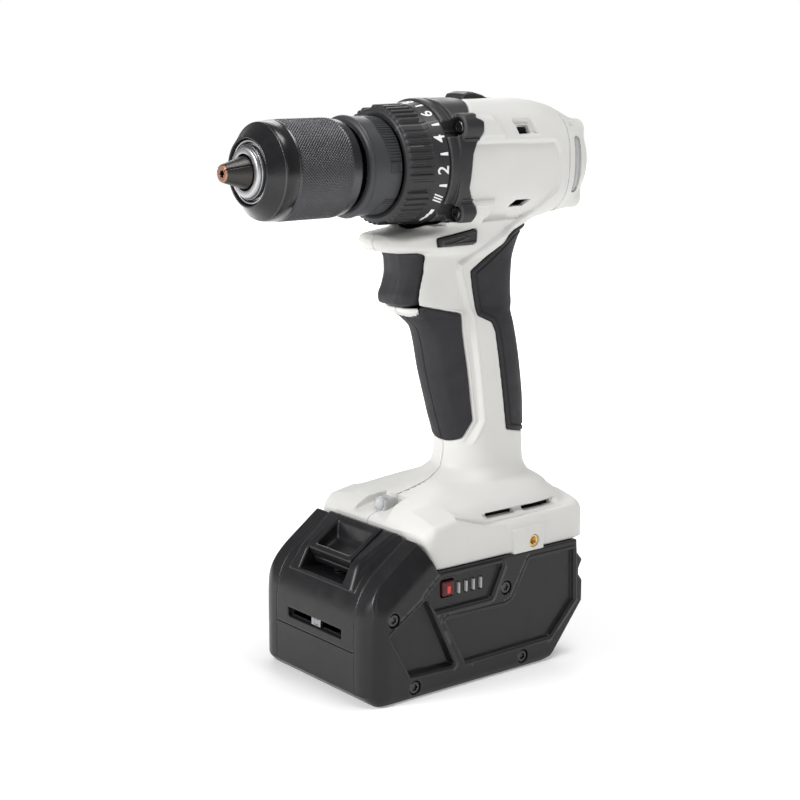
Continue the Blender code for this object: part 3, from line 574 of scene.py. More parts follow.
def revolve(name, radius, ys, count, inner=None, axis=(0.0, AXIS_Z)):
    """A surface round the chuck's axis. radius takes y and angle grids; inner adds a plain inside wall."""
    angles = np.arange(count) * 2 * math.pi / count
    ys = np.asarray(ys, float)
    r = np.broadcast_to(radius(ys[:, None], angles[None, :]), (len(ys), count))
    rows = [(ys[k], r[k]) for k in range(len(ys))]
    if inner is not None:
        rows += [(y, np.full(count, v)) for y, v in inner]
    points = []
    for y, row in rows:
        points.append(np.stack([axis[0] + row * np.cos(angles), np.broadcast_to(y, count),
                                axis[1] + row * np.sin(angles)], axis=1))
    points = np.concatenate(points)
    total = len(rows)
    k = np.arange(total if inner is not None else total - 1)
    i = np.arange(count)
    a = (k[:, None] * count + i[None, :])
    b = (k[:, None] * count + (i[None, :] + 1) % count)
    c = ((k[:, None] + 1) % total * count + (i[None, :] + 1) % count)
    d = ((k[:, None] + 1) % total * count + i[None, :])
    quads = np.stack([a, b, c, d], axis=-1).reshape(-1, 4)
    return mesh_object(name, points, quads)


def profile(points, y):
    """The radius at y on straight runs between (y, radius) points."""
    table = np.array(points, float)
    return np.interp(y, table[:, 0], table[:, 1])


def rounded_profile(points, radius=0.35):
    """The same (y, radius) run with each corner cut by a short bevel, for smooth shading."""
    found = [points[0]]
    for before, here, after in zip(points, points[1:], points[2:]):
        for other in (before, after):
            length = math.hypot(other[0] - here[0], other[1] - here[1])
            share = min(radius / max(length, 1e-6), 0.45)
            found.append((here[0] + (other[0] - here[0]) * share, here[1] + (other[1] - here[1]) * share))
    return found + [points[-1]]


def turned(name, points, count=160, radius=0.3, axis=(0.0, AXIS_Z)):
    """A closed turned piece from a (y, radius) loop with softened corners."""
    loop = rounded_profile([points[-1], *points, points[0]], radius)[1:-1]
    angles = np.arange(count) * 2 * math.pi / count
    rows = np.array([[(axis[0] + r * math.cos(t), y, axis[1] + r * math.sin(t)) for t in angles]
                     for y, r in loop])
    total = len(loop)
    k, i = np.arange(total)[:, None], np.arange(count)[None, :]
    quads = np.stack([k * count + i, k * count + (i + 1) % count, (k + 1) % total * count + (i + 1) % count,
                      (k + 1) % total * count + i], axis=-1).reshape(-1, 4)
    area = sum(a[0] * b[1] - b[0] * a[1] for a, b in zip(loop, loop[1:] + loop[:1]))
    if area > 0:
        quads = quads[:, ::-1]
    return mesh_object(name, rows.reshape(-1, 3), quads)


def clutch_radius(Y, A):
    """The torque ring: six groups of grip ribs in front of a plain band that flares to the rear."""
    base = profile([(-25.7, 23.7), (-25.3, 24.4), (-24.6, 25.0), (-13, 25.2), (-11.2, 26.0), (-10.6, 26.35),
                    (-5.4, 27.25), (-4.7, 27.3)], Y)
    degrees = (np.degrees(A) - 12.4 + 30) % 60 - 30
    edge = 24.6 - 5.5 * ramp((Y + 14.6) / 3.0)
    group = ramp((edge - np.abs(degrees)) / 1.2)
    ends = ramp((Y + 25.2) / 1.2) * ramp((-11.6 - Y) / 0.9)
    wave = 0.5 + 0.5 * np.cos(2 * math.pi * degrees / 7.0)
    rib = 0.25 + 0.95 * np.clip(wave * 1.7 - 0.2, 0, 1)
    groove = -0.3 * ramp(1 - np.abs(np.abs(degrees) - 25.6)) * ramp((Y + 24) / 2) * ramp(-11 - Y)
    return base + rib * group * ends + groove


def build_clutch():
    ys = np.concatenate([np.arange(-25.7, -4.7, 0.22), [-4.66, -4.6]])
    ring = revolve("Clutch_Ring", clutch_radius, ys, 900,
                   inner=[(-4.5, 27.0), (-4.5, 18.2), (-22.0, 18.2), (-25.4, 21.8), (-25.7, 23.2)])
    return {"clutch_ring": ring}


def collar_radius(Y, A):
    """The fixed collar: a rim, then a plain band with fine ribs in three sunk fields."""
    base = profile([(-43, 20.6), (-42.6, 21.5), (-42.2, 22.0), (-41.4, 22.25), (-40.8, 21.9), (-40.3, 21.65),
                    (-26, 21.35)], Y)
    degrees = (np.degrees(A) - 45 + 60) % 120 - 60
    field = ramp((38 - np.abs(degrees)) / 1.5) * ramp((Y + 34.5 - 0.05 * np.abs(degrees)) / 0.8)
    wave = np.clip(0.5 + 1.1 * np.cos(2 * math.pi * degrees / 3.6), 0, 1)
    step = -0.75 * ramp((np.abs(degrees + 42) - 8) / -2.0) * ramp((Y + 32.5) / 1.2)
    return base - 0.75 * field * wave + step


def build_collar():
    ys = np.concatenate([np.arange(-43, -40, 0.18), np.arange(-40, -26.2, 0.45), [-26.1]])
    ring = revolve("Mode_Collar", collar_radius, ys, 720,
                   inner=[(-26, 21.0), (-26, 18.0), (-38, 18.0), (-43, 18.6)])
    return {"mode_collar": ring}


def knurl_radius(Y, A):
    """A diamond knurl that fades out at both ends of its band."""
    base = profile([(-79.2, 21.05), (-78.4, 21.3), (-50.8, 21.3), (-46.9, 20.6), (-46.3, 20.2),
                    (-46.2, 19.9)], Y)
    across = 96 * A
    along = 2 * math.pi * Y / 1.36
    one = np.abs(((across + along) / (2 * math.pi)) % 1 - 0.5) * 2
    two = np.abs(((across - along) / (2 * math.pi)) % 1 - 0.5) * 2
    height = np.minimum(np.clip(one * 1.35, 0, 1), np.clip(two * 1.35, 0, 1))
    band = ramp((Y + 78.3) / 0.8) * ramp((-51.3 - Y) / 0.8)
    return base + (0.42 * height - 0.3) * band


def build_chuck():
    """The sleeve with its nose, the steel body inside it and the bright rings round the jaws."""
    ys = np.concatenate([np.arange(-79.2, -50.4, 0.226), np.arange(-50.2, -46.2, 0.4), [-46.18]])
    grip_part = revolve("Chuck_Sleeve_Knurled", knurl_radius, ys, 672,
                        inner=[(-46.2, 19.45), (-78, 19.45), (-79.2, 20.2)])
    nose = turned("Chuck_Sleeve_Nose", [(-91.35, 13.95), (-91.35, 14.75), (-90.9, 15.1), (-85.75, 20.1),
                                        (-85.45, 20.45), (-84.6, 20.8), (-79.25, 21.2), (-79.25, 17.0),
                                        (-84.3, 16.5), (-88.4, 13.95)], 220, 0.22)
    # a thin dark metal band along the nose cone's rear edge, standing in for a light edge line: a painted
    # highlight
    line = turned("Chuck_Edge_Highlight", [(-85.72, 20.0), (-85.72, 20.22), (-85.4, 20.56), (-85.2, 20.58),
                                      (-85.2, 20.0)], 220, 0.05)
    body = turned("Chuck_Body", [(-92.9, 7.6), (-93.0, 8.0), (-93.0, 9.9), (-92.5, 10.7), (-91.4, 10.95),
                                 (-88.6, 10.95), (-88.5, 13.3), (-84, 16), (-62, 19), (-48, 19), (-48, 5.6),
                                 (-60.8, 5.6), (-61.0, 14.4), (-72.0, 14.2), (-91.8, 7.8)], 200, 0.3)
    thin = turned("Chuck_Nose_Ring", [(-90.0, 12.5), (-90.4, 12.6), (-90.4, 13.2), (-90.0, 13.4),
                                      (-88.9, 13.4), (-88.9, 12.5)], 180, 0.12)
    second = turned("Chuck_Inner_Ring", [(-90.9, 11.0), (-91.3, 11.15), (-91.3, 11.35), (-90.9, 11.45),
                                         (-89.5, 11.45), (-89.5, 11.0)], 180, 0.08)
    return {"chuck_sleeve": [grip_part, nose, line], "chuck_body": [body], "chuck_nose_ring": [thin, second]}


def jaw_angle(index):
    """The direction of a jaw from the chuck's axis; the first points up."""
    return 2 * math.pi * index / 3 + math.pi / 2


def jaw_field(index, tip):
    """A third of the closed cone round the bit's bore; tip is its ground end alone."""
    middle = jaw_angle(index)

    def field(X, Y, Z):
        U, V = X, Z - AXIS_Z
        radius = np.interp(Y, (-103.8, -103.0, -93, -82), (3.55, 3.95, 6.9, 7.3))
        cone = (np.sqrt(U * U + V * V) - radius) * 0.95
        along = U * math.cos(middle) + V * math.sin(middle)
        across = -U * math.sin(middle) + V * math.cos(middle)
        wedge = np.abs(across) * 0.5 - along * 0.866 + 0.14
        core = 1.5 - np.sqrt(U * U + V * V) + 0.35 * np.cos(6 * np.arctan2(V, U))
        core = np.where(Y < -100.5, core, 0.6 - np.sqrt(U * U + V * V))
        shape = smooth_max(smooth_max(cone, wedge, 0.35), core, 0.3)
        ends = (-103.8 - Y, Y + 103.2) if tip else (-103.2 - Y, Y + 82)
        return smooth_max(smooth_max(shape, ends[0], 0.25), ends[1], 0.1)
    return field


# (whether it is the tip, end of its name, its y range, its mesh's step) of each jaw's two pieces.
JAW_PIECES = ((False, "", -103.3, -81.9, 0.26), (True, "_Tip", -103.9, -103.1, 0.18))


def build_jaws():
    """The three jaws, each as its body and its ground tip."""
    found = {}
    for index in range(3):
        middle = jaw_angle(index)
        cx, cz = 3.2 * math.cos(middle), AXIS_Z + 3.2 * math.sin(middle)
        made = []
        for tip, ending, low, high, step in JAW_PIECES:
            made.append(field_mesh(f"Chuck_Jaw_{index + 1}{ending}", jaw_field(index, tip),
                                   (cx - 7.0, low, cz - 7.0), (cx + 7.0, high, cz + 7.0), step))
        found[f"chuck_jaw_{index + 1}"] = made
    return found


def screw_field(head, depth, lobe):
    """A pan-head screw along +Z with a six-lobed socket, its head from 0 to depth."""
    def field(X, Y, Z):
        R = np.sqrt(X * X + Y * Y)
        turn = np.arctan2(Y, X)
        crown = depth - 0.35 * (R / head) ** 2 * depth
        body = smooth_max(R - head, np.maximum(Z - crown, -Z), 0.7)
        dish = smooth_max(R - head * 0.66, depth - 0.35 - Z, 0.3)
        body = carve(body, dish, 0.25)
        socket = R - lobe * (1 + 0.17 * np.cos(6 * turn))
        body = carve(body, np.maximum(socket, 0.25 - Z), 0.15)
        shank = np.maximum(R - head * 0.45, np.maximum(-3.0 - Z, Z - 0.4))
        return np.minimum(body, shank)
    return field


def place_screw(template, name, centre, direction, spin=0.0):
    """A copy of a screw whose head faces along direction, with the underside of its head at centre."""
    obj = bpy.data.objects.new(name, template.data.copy())
    turn = Vector(direction).to_track_quat("Z", "Y").to_matrix().to_4x4()
    obj.data.transform(Matrix.Translation(Vector(centre) * MM) @ turn @ Matrix.Rotation(spin, 4, "Z"))
    bpy.context.scene.collection.objects.link(obj)
    return obj


# ---------------------------------------------------------------- controls

# (z, front y, half-width) up the trigger.
TRIGGER = [(168.4, -16.6, 9.4), (170.5, -18.9, 10.4), (173, -19.0, 10.8), (178, -17.0, 11.0),
           (184, -15.6, 11.1),
           (189, -15.8, 11.1), (193, -17.2, 11.1)]


def trigger_field(X, Y, Z):
    """A trigger whose front is hollowed for the finger and flares at its lower lip."""
    front, half = through(TRIGGER, Z)
    crest = front + 0.03 * X * X - 0.5 * np.exp(-((np.abs(X) - 5.4) / 1.6) ** 2)
    shape = smooth_max(crest - Y, np.abs(X) - half, 3.4)
    shape = smooth_max(shape, Y + 3.2, 1.0)
    underside = 168.9 + 0.0066 * (Y + 10) ** 2
    shape = smooth_max(shape, underside - Z, 2.6)
    return smooth_max(shape, Z - 192.8, 0.8)


def slider_field(X, Y, Z):
    """The speed slider: a low arched shoe with a stepped front and two grip ridges."""
    top = np.interp(Y, (19.8, 21, 23, 28, 32, 35, 36.4), (260.6, 262.2, 262.7, 262.6, 261.6, 260.2, 258.9))
    ridges = 0.35 * np.exp(-((Y - 24.4) / 0.5) ** 2) + 0.35 * np.exp(-((Y - 26.6) / 0.5) ** 2)
    top = top - 0.006 * X * X - 0.35 + np.clip(ridges, 0, 0.35)
    shape = smooth_max(np.abs(X) - 6.5, Z - top, 1.4)
    shape = smooth_max(shape, np.abs(Y - 28.1) - 8.2, 0.9)
    return smooth_max(shape, 256.6 - Z, 0.3)


def button_field(X, Y, Z):
    """The direction button, with a half arrow cut in each end."""
    shape = smooth_max(rounded_polygon(Y, Z, BUTTON, 0.9), np.abs(X) - 22.3, 1.0)
    rim = smooth_max(rounded_polygon(Y, Z, widened(BUTTON, -1.1), 0.5), 21.9 - np.abs(X), 0.2)
    shape = carve(shape, rim, 0.3)
    arrow = polygon(Y, Z, [(1.4, 197.5), (8.4, 199.3), (7.4, 200.6), (11.4, 199.6), (10.2, 198.7),
                           (1.6, 197.1)])
    return smooth_min(shape, smooth_max(arrow, np.abs(X) - 22.35, 0.2), 0.2)


def lens_field(X, Y, Z):
    """The work light's domed lens."""
    dome = np.sqrt(X * X + (Y - LAMP_Y) ** 2 + ((Z - LAMP_Z) * 0.85) ** 2) - 2.9
    return smooth_max(dome, -Y - 26, 0.3)


def holder_field(X, Y, Z):
    """The pale rounded holder round the work light."""
    shape = block(X, Y, Z, (-4.3, -23.2, 73.4), (4.3, -14.2, 80.8), 2.0)
    well = tube(X, Z, Y, (0, 78.4), 3.3, -40, -18.6)
    return carve(shape, well, 0.6)


def insert_field(X, Y, Z):
    """The threaded brass insert for the belt hook."""
    A = np.abs(X)
    R = np.sqrt((Y - HOOK_Y) ** 2 + (Z - HOOK_Z) ** 2)
    shape = smooth_max(R - 2.8, np.maximum(A - 41.3, 35.0 - A), 0.3)
    thread = R - 1.75 - 0.16 * np.cos(2 * math.pi * A / 0.75)
    return carve(shape, np.maximum(thread, 36.2 - A), 0.12)


# ---------------------------------------------------------------- battery

BATTERY_SIDE = [(-55, 0), (-60, 4.4), (-60, 45), (-56.4, 51.5), (-30.8, 70), (-27.6, 65.4), (-22.4, 56),
                (61.8, 56), (62.2, 49.5), (65.6, 45.5), (63.4, 41.5), (63.4, 38.5), (65.7, 35.5),
                (65.7, 25.5), (46.2, 1.4), (41.4, 0)]
GAUGE_PANEL = [(-24, 38.2), (-29.4, 45.4), (-20.2, 53), (15.6, 53), (8.4, 38.4)]
LABEL_PANEL = [(-18.6, 33.1), (-6.6, 11.4), (45.2, 12), (60.2, 27.2), (59.6, 51.4), (32, 51.5), (21.8, 33.9),
               (17, 32.4)]
WEDGE = [(-29.2, 44.2), (-13.2, 11.0), (-38.2, 11.9), (-49, 31.7)]
BATTERY_SCREWS = [(-35.4, 5.4), (28.5, 5.6), (17.8, 41), (-47.2, 38.8)]
# (outline, depth, width of its slope) of each sunk panel.
PANELS = ((GAUGE_PANEL, 1.7, 1.1), (LABEL_PANEL, 1.8, 1.1), (WEDGE, 3.2, 2.2))
GAUGE_BARS = 4
BAR_STEP = 4.3
CORE_X = 29.45  # where the side shells meet the middle of the battery
WALL = 3.4
FRONT_SEAM_Z = 23.2
SLOPE = (-0.588, 0.809)  # outward normal of the battery's sloping front, in Y and Z


def slope_distance(Y, Z):
    """Height above the battery's sloping front face."""
    return (Y + 56.4) * SLOPE[0] + (Z - 51.5) * SLOPE[1]


def battery_outline(Y, Z):
    """The battery's side outline, with a large radius between its front and its slope."""
    shape = rounded_polygon(Y, Z, BATTERY_SIDE, 0.4)
    return smooth_max(shape, smooth_max(BATTERY_FRONT - Y, slope_distance(Y, Z), 14.0), 0.3)


def shell_field(side):
    """One side of the battery, with its bevels, sunk panels and screw wells; the left one holds the gauge."""
    def field(X, Y, Z):
        A = X * side
        shape = smooth_max(battery_outline(Y, Z), A - BATTERY_X, 0.9)
        bevel = 0.74 * (A - 37.8) + 0.67 * (BATTERY_FRONT - Y)
        shape = smooth_max(shape, bevel, 4.5)
        ridge = 0.905 * (A - 37.4) + 0.425 * slope_distance(Y, Z)
        shape = smooth_max(shape, ridge, 1.0)
        foot = 0.8 * (A - BATTERY_X + 1.6) - 0.6 * Z
        shape = smooth_max(shape, foot, 1.2)
        for outline, depth, edge in PANELS:
            sunk = rounded_polygon(Y, Z, outline, 0.8)
            floor = BATTERY_X + 0.5 - (depth + 0.5) * ramp(0.5 - sunk / edge)
            bead = 0.3 * ramp(1 - np.abs(sunk - 1.5) / 0.9)
            shape = shape - bead * ramp(A - 39)
            shape = smooth_max(shape, A - floor, 0.3)
        for y, z in BATTERY_SCREWS:
            R = np.sqrt((Y - y) ** 2 + (Z - z) ** 2)
            shape = carve(shape, np.maximum(R - 3.25, 40.4 - A), 0.5)
        if side > 0:
            shape = carve(shape, block(X, Y, Z, (36, -19.9, 43.2), (50, -12.4, 51.2), 1.0), 0.4)
            for n in range(GAUGE_BARS):
                y = -10.4 + BAR_STEP * n
                shape = carve(shape, block(X, Y, Z, (36, y - 0.1, 43.5), (50, y + 1.2, 49.1), 0.4), 0.25)
        inside = smooth_max(battery_outline(Y, Z) + WALL, A - 37.2, 1.0)
        shape = carve(shape, smooth_max(inside, Z - 52, 0.5), 0.5)
        return smooth_max(shape, CORE_X + 0.1 - A, 0.5)
    return field


def surround(X, Y, Z):
    """The raised frame round the latch: four leaning faces, cut off square at the rear."""
    y, z = Y + 50.9, Z - 60.3
    top = z * 0.848 - y * 0.531
    front = z * 0.478 - y * 0.879
    side = (np.abs(X) - 21.5 - 0.5 * y + 0.5 * z) * 0.82
    shape = smooth_max(smooth_max(top, front, 1.6), side, 1.8)
    shape = smooth_max(shape, Y + 30.2, 0.8)
    return np.maximum(np.maximum(shape, 49 - Z), np.abs(X) - CORE_X)


def upper_field(X, Y, Z):
    """The middle of the battery above its front seam, with the latch's pocket, rails and contact tower."""
    shape = smooth_max(battery_outline(Y, Z), np.abs(X) - CORE_X, 0.5)
    shape = smooth_min(shape, surround(X, Y, Z), 0.6)
    under_foot = polygon(Y, Z, [(-90, -10), (-90, 99), (-42, 80.6), (-37.5, 75), (-30.8, 70.8), (-27.6, 65.4),
                                (-22.4, 56), (90, 56), (90, -10)])
    shape = smooth_max(shape, under_foot, 0.5)
    tower = block(X, Y, Z, (-17, -6, 50), (17, 50, 66), 1.0)
    rails = block(np.abs(X), Y, Z, (19, -6, 58.5), (23.5, 52, 61.2), 0.4)
    stem = block(np.abs(X), Y, Z, (15.5, -6, 50), (20, 52, 61.2), 0.4)
    shape = smooth_min(shape, np.minimum(tower, np.minimum(rails, stem)), 0.4)
    for x in (-11, -4, 4, 11):
        shape = carve(shape, block(X, Y, Z, (x - 0.8, -9, 58), (x + 0.8, 30, 68), 0.2), 0.3)
    pocket = polygon(Y, Z, [(-33, 85), (-33, 57.5), (-38, 55.2), (-43.6, 50.4), (-62, 50.4), (-66, 85)])
    shape = carve(shape, np.maximum(pocket, np.abs(X) - 16.2), 0.8)
    slot = block(X, Y, Z, (-20.4, -62, 27.2), (20.4, -57.2, 31.7), 0.4)
    shape = carve(shape, slot, 0.4)
    inside = smooth_max(battery_outline(Y, Z) + WALL, np.abs(X) - 26, 1.0)
    shape = carve(shape, smooth_max(inside, Z - 48, 0.5), 0.5)
    return smooth_max(shape, FRONT_SEAM_Z + 0.1 - Z, 0.5)


def lower_field(X, Y, Z):
    """The middle of the battery below its front seam."""
    shape = smooth_max(battery_outline(Y, Z), np.abs(X) - CORE_X, 0.5)
    shape = carve(shape, smooth_max(battery_outline(Y, Z) + WALL, np.abs(X) - 26, 1.0), 0.5)
    return smooth_max(shape, Z - FRONT_SEAM_Z + 0.1, 0.5)


def slot_tab_field(X, Y, Z):
    """The small metal tab in the middle of the front slot."""
    shape = block(X, Y, Z, (-3.4, -58.9, 27.6), (3.4, -57.3, 31.2), 0.3)
    return carve(shape, block(X, Y, Z, (-1.9, -59.5, 28.4), (1.9, -58.5, 30.4), 0.3), 0.2)


def latch_field(X, Y, Z):
    """The release button: a deep finger scoop behind a rounded lip."""
    u = (Y + 51.4) * 0.829 + (Z - 60.2) * 0.559
    w = (Y + 51.4) * -0.559 + (Z - 60.2) * 0.829
    shape = smooth_max(np.abs(X) - 15.6, w, 1.2)
    shape = smooth_max(shape, -u + 0.15 * w, 1.0)
    shape = smooth_max(shape, Y + 33.6, 0.5)
    bottom = polygon(Y, Z, [(-70, 90), (-51.8, 57.6), (-48.6, 55.6), (-49.8, 51.4), (-36, 55.2), (-33, 62),
                            (-20, 90)])
    shape = smooth_max(shape, bottom, 0.5)
    scoop = smooth_max(np.abs(X) - 12.7 + 0.12 * np.clip(-w, 0, 9), 3.0 - u - 0.1 * w, 1.2)
    scoop = smooth_max(scoop, u - 18.2 - 0.9 * w, 1.2)
    scoop = smooth_max(scoop, -6.2 - w + 0.12 * (12 - u), 2.4)
    return carve(shape, scoop, 0.9)


def gauge_field(X, Y, Z):
    """The gauge's push button, with a raised bar on its face."""
    shape = block(X, Y, Z, (38, -19.4, 43.8), (41.9, -12.9, 50.7), 0.9)
    mark = block(X, Y, Z, (40, -17.0, 45.0), (42.3, -15.2, 48.4), 0.5)
    return smooth_min(shape, mark, 0.3)


def bar_field(X, Y, Z):
    """The charge gauge's row of pale bars."""
    row = (Y + 9.85 + BAR_STEP / 2) % BAR_STEP - BAR_STEP / 2
    shape = block(X, row, Z, (39, -0.5, 43.8), (41.85, 0.5, 48.8), 0.3)
    return np.maximum(shape, np.maximum(-12 - Y, Y - 5))


# ---------------------------------------------------------------- materials

def tree_of(name):
    """A new node material, with its node tree and its shader."""
    material = bpy.data.materials.new(name)
    material.use_nodes = True
    tree = material.node_tree
    return material, tree, tree.nodes["Principled BSDF"]


def noise(tree, scale, detail=4.0, stretch=None):
    """A noise texture in object space, stretched along one axis for brushed or moulded grain."""
    place = tree.nodes.new("ShaderNodeTexCoord")
    texture = tree.nodes.new("ShaderNodeTexNoise")
    texture.inputs["Scale"].default_value = scale
    texture.inputs["Detail"].default_value = detail
    source = place.outputs["Object"]
    if stretch is not None:
        mapping = tree.nodes.new("ShaderNodeMapping")
        mapping.inputs["Scale"].default_value = stretch
        tree.links.new(source, mapping.inputs["Vector"])
        source = mapping.outputs["Vector"]
    tree.links.new(source, texture.inputs["Vector"])
    return texture.outputs["Fac"]


def spread(tree, value, low, high, to_low, to_high):
    """A socket's range, mapped to another range."""
    node = tree.nodes.new("ShaderNodeMapRange")
    node.inputs["From Min"].default_value = low
    node.inputs["From Max"].default_value = high
    node.inputs["To Min"].default_value = to_low
    node.inputs["To Max"].default_value = to_high
    tree.links.new(value, node.inputs["Value"])
    return node.outputs["Result"]


def mixed(tree, share, first, second):
    """A colour between two colours; either may be a plain tuple or a socket."""
    node = tree.nodes.new("ShaderNodeMix")
    node.data_type = "RGBA"
    tree.links.new(share, node.inputs["Factor"])
    for socket, value in ((node.inputs["A"], first), (node.inputs["B"], second)):
        if isinstance(value, tuple):
            socket.default_value = (*value, 1.0)
        else:
            tree.links.new(value, socket)
    return node.outputs["Result"]


def scaled(colour, share):
    """A colour made lighter or darker."""
    return tuple(min(1.0, c * share) for c in colour)


def bumped(tree, shader, heights):
    """Chains bump nodes, one for each (height socket, strength, distance in millimetres)."""
    normal = None
    for height, strength, distance in heights:
        node = tree.nodes.new("ShaderNodeBump")
        node.inputs["Strength"].default_value = strength
        node.inputs["Distance"].default_value = distance * MM
        tree.links.new(height, node.inputs["Height"])
        if normal is not None:
            tree.links.new(normal, node.inputs["Normal"])
        normal = node.outputs["Normal"]
    tree.links.new(normal, shader.inputs["Normal"])


def moulded(name, colour, rough, grain=2600.0, depth=0.03, variation=0.05, edge_wear_and_highlight=0.18, specular=0.3):
    """A moulded polymer: fine spark texture, faint flow mottling, and convex edges painted a little paler,
    partly as handling wear and partly as a painted edge highlight.
    """
    material, tree, shader = tree_of(name)
    mottle = noise(tree, 38.0, 5.0)
    base = mixed(tree, spread(tree, mottle, 0.3, 0.7, 0.0, 1.0),
                 scaled(colour, 1 - variation), scaled(colour, 1 + variation))
    shape = tree.nodes.new("ShaderNodeNewGeometry")
    # convex edges are painted paler: partly handling wear, partly a painted edge highlight
    edge = spread(tree, shape.outputs["Pointiness"], 0.515, 0.6, 0.0, edge_wear_and_highlight)
    pale = tuple(c + (1 - c) * 0.35 for c in colour)
    tree.links.new(mixed(tree, edge, base, pale), shader.inputs["Base Color"])
    gloss = spread(tree, noise(tree, 160.0, 3.0), 0.3, 0.7, rough - 0.05, rough + 0.06)
    tree.links.new(gloss, shader.inputs["Roughness"])
    shader.inputs["Specular IOR Level"].default_value = specular
    bumped(tree, shader, [(noise(tree, grain, 2.0), 0.55, depth), (noise(tree, 210.0, 2.0), 0.12, 0.05)])
    return material


def metal(name, colour, rough, stretch, grain=900.0, depth=0.01, variation=0.1, uneven=1.0):
    """A machined metal whose fine lines run round or along the piece, with a painted highlight on its convex
    edges; uneven says how much the lines show.
    """
    material, tree, shader = tree_of(name)
    lines = noise(tree, grain, 3.0, stretch)
    tone = noise(tree, 60.0, 4.0)
    base = mixed(tree, spread(tree, tone, 0.3, 0.7, 0.0, 1.0),
                 scaled(colour, 1 - variation), scaled(colour, 1 + variation))
    shape = tree.nodes.new("ShaderNodeNewGeometry")
    # convex edges are painted brighter: a painted edge highlight
    edge = spread(tree, shape.outputs["Pointiness"], 0.53, 0.62, 0.0, 0.25)
    tree.links.new(mixed(tree, edge, base, scaled(colour, 1.4)), shader.inputs["Base Color"])
    gloss = spread(tree, lines, 0.3, 0.7, rough - 0.06 * uneven, rough + 0.08 * uneven)
    tree.links.new(gloss, shader.inputs["Roughness"])
    shader.inputs["Metallic"].default_value = 1.0
    bumped(tree, shader, [(lines, 0.25 * uneven, depth)])
    return material


def clear_lens(name):
    """A slightly cloudy clear plastic."""
    material, tree, shader = tree_of(name)
    cloud = spread(tree, noise(tree, 300.0), 0.3, 0.7, 0.0, 1.0)
    tint = mixed(tree, cloud, (0.62, 0.64, 0.66), (0.78, 0.8, 0.82))
    tree.links.new(tint, shader.inputs["Base Color"])
    tree.links.new(spread(tree, noise(tree, 900.0), 0.3, 0.7, 0.06, 0.16), shader.inputs["Roughness"])
    shader.inputs["Transmission Weight"].default_value = 0.35
    bumped(tree, shader, [(noise(tree, 420.0), 0.15, 0.03)])
    return material


def paint(name, colour, rough=0.5):
    """Pad-printed ink with slightly uneven cover."""
    return moulded(name, colour, rough, 1800.0, 0.008, 0.03, 0.0)


WHITE = (0.66, 0.655, 0.63)
RUBBER = (0.019, 0.018, 0.021)
ROUND_Y = (1.0, 22.0, 1.0)  # noise stretch for lines that run round the chuck's axis


def make_materials():
    """Every finish, by the name that the rest of the script uses."""
    return {
        "white": moulded("White_Polymer", WHITE, 0.46, 2300.0, 0.035, 0.02, 0.12),
        "rubber": moulded("Soft_Grip", RUBBER, 0.66, 1500.0, 0.06, 0.10, 0.02, 0.35),
        "dark_rubber": moulded("Trigger_Polymer", (0.027, 0.026, 0.029), 0.55, 2000.0, 0.04, 0.06, 0.15),
        "black": moulded("Black_Nylon", (0.028, 0.028, 0.030), 0.44, 1900.0, 0.05, 0.12, 0.22),
        "satin": moulded("Satin_Black", (0.0085, 0.0082, 0.0095), 0.33, 2400.0, 0.012, 0.15, 0.10, 0.36),
        "gloss": moulded("Gloss_Black", (0.008, 0.008, 0.009), 0.25, 1400.0, 0.002, 0.12, 0.04, 0.4),
        "gunmetal": metal("Knurled_Steel", (0.085, 0.083, 0.088), 0.34, (1, 1, 1), 500.0, 0.006),
        "collar": moulded("Collar_Polymer", (0.048, 0.049, 0.053), 0.40, 2000.0, 0.03, 0.08, 0.3),
        "silver": metal("Brushed_Steel", (0.40, 0.40, 0.41), 0.36, ROUND_Y, 300.0, 0.0006, 0.02, 0.3),
        "steel": metal("Drawn_Steel", (0.34, 0.34, 0.36), 0.36, (1, 6, 1), 500.0, 0.004),
        "jaw": metal("Black_Oxide", (0.06, 0.058, 0.056), 0.4, (1, 4, 1)),
        "copper": metal("Ground_Tip", (0.36, 0.20, 0.14), 0.36, (8, 1, 1), 500.0, 0.003),
        "screw": metal("Dark_Zinc", (0.07, 0.07, 0.075), 0.30, (1, 1, 1), 700.0, 0.006),
        "brass": metal("Turned_Brass", (0.72, 0.47, 0.17), 0.28, (22, 1, 1)),
        "winding": metal("Copper_Winding", (0.62, 0.26, 0.12), 0.4, (1, 10, 1)),
        "grey": moulded("Pale_Grey", (0.42, 0.42, 0.42), 0.5, 1800.0, 0.03, 0.05, 0.1),
        "red": moulded("Red_Button", (0.085, 0.012, 0.014), 0.36, 1500.0, 0.02, 0.1, 0.2),
        "bright_red": moulded("Red_Glyph", (0.62, 0.06, 0.05), 0.4, 1500.0, 0.01, 0.05, 0.1),
        # near-black colour painted into deep openings as shade
        "inside": moulded("Painted_Shade_Interior", (0.012, 0.012, 0.013), 0.75, 900.0, 0.05, 0.2, 0.0, 0.2),
        "ink": paint("White_Ink", (0.82, 0.82, 0.80)),
        "board": moulded("Circuit_Board", (0.02, 0.11, 0.05), 0.35, 800.0, 0.05, 0.3, 0.1),
        "cell": moulded("Cell_Wrap", (0.03, 0.16, 0.10), 0.3, 500.0, 0.02, 0.15, 0.1),
        "lens": clear_lens("Lamp_Lens"),
    }


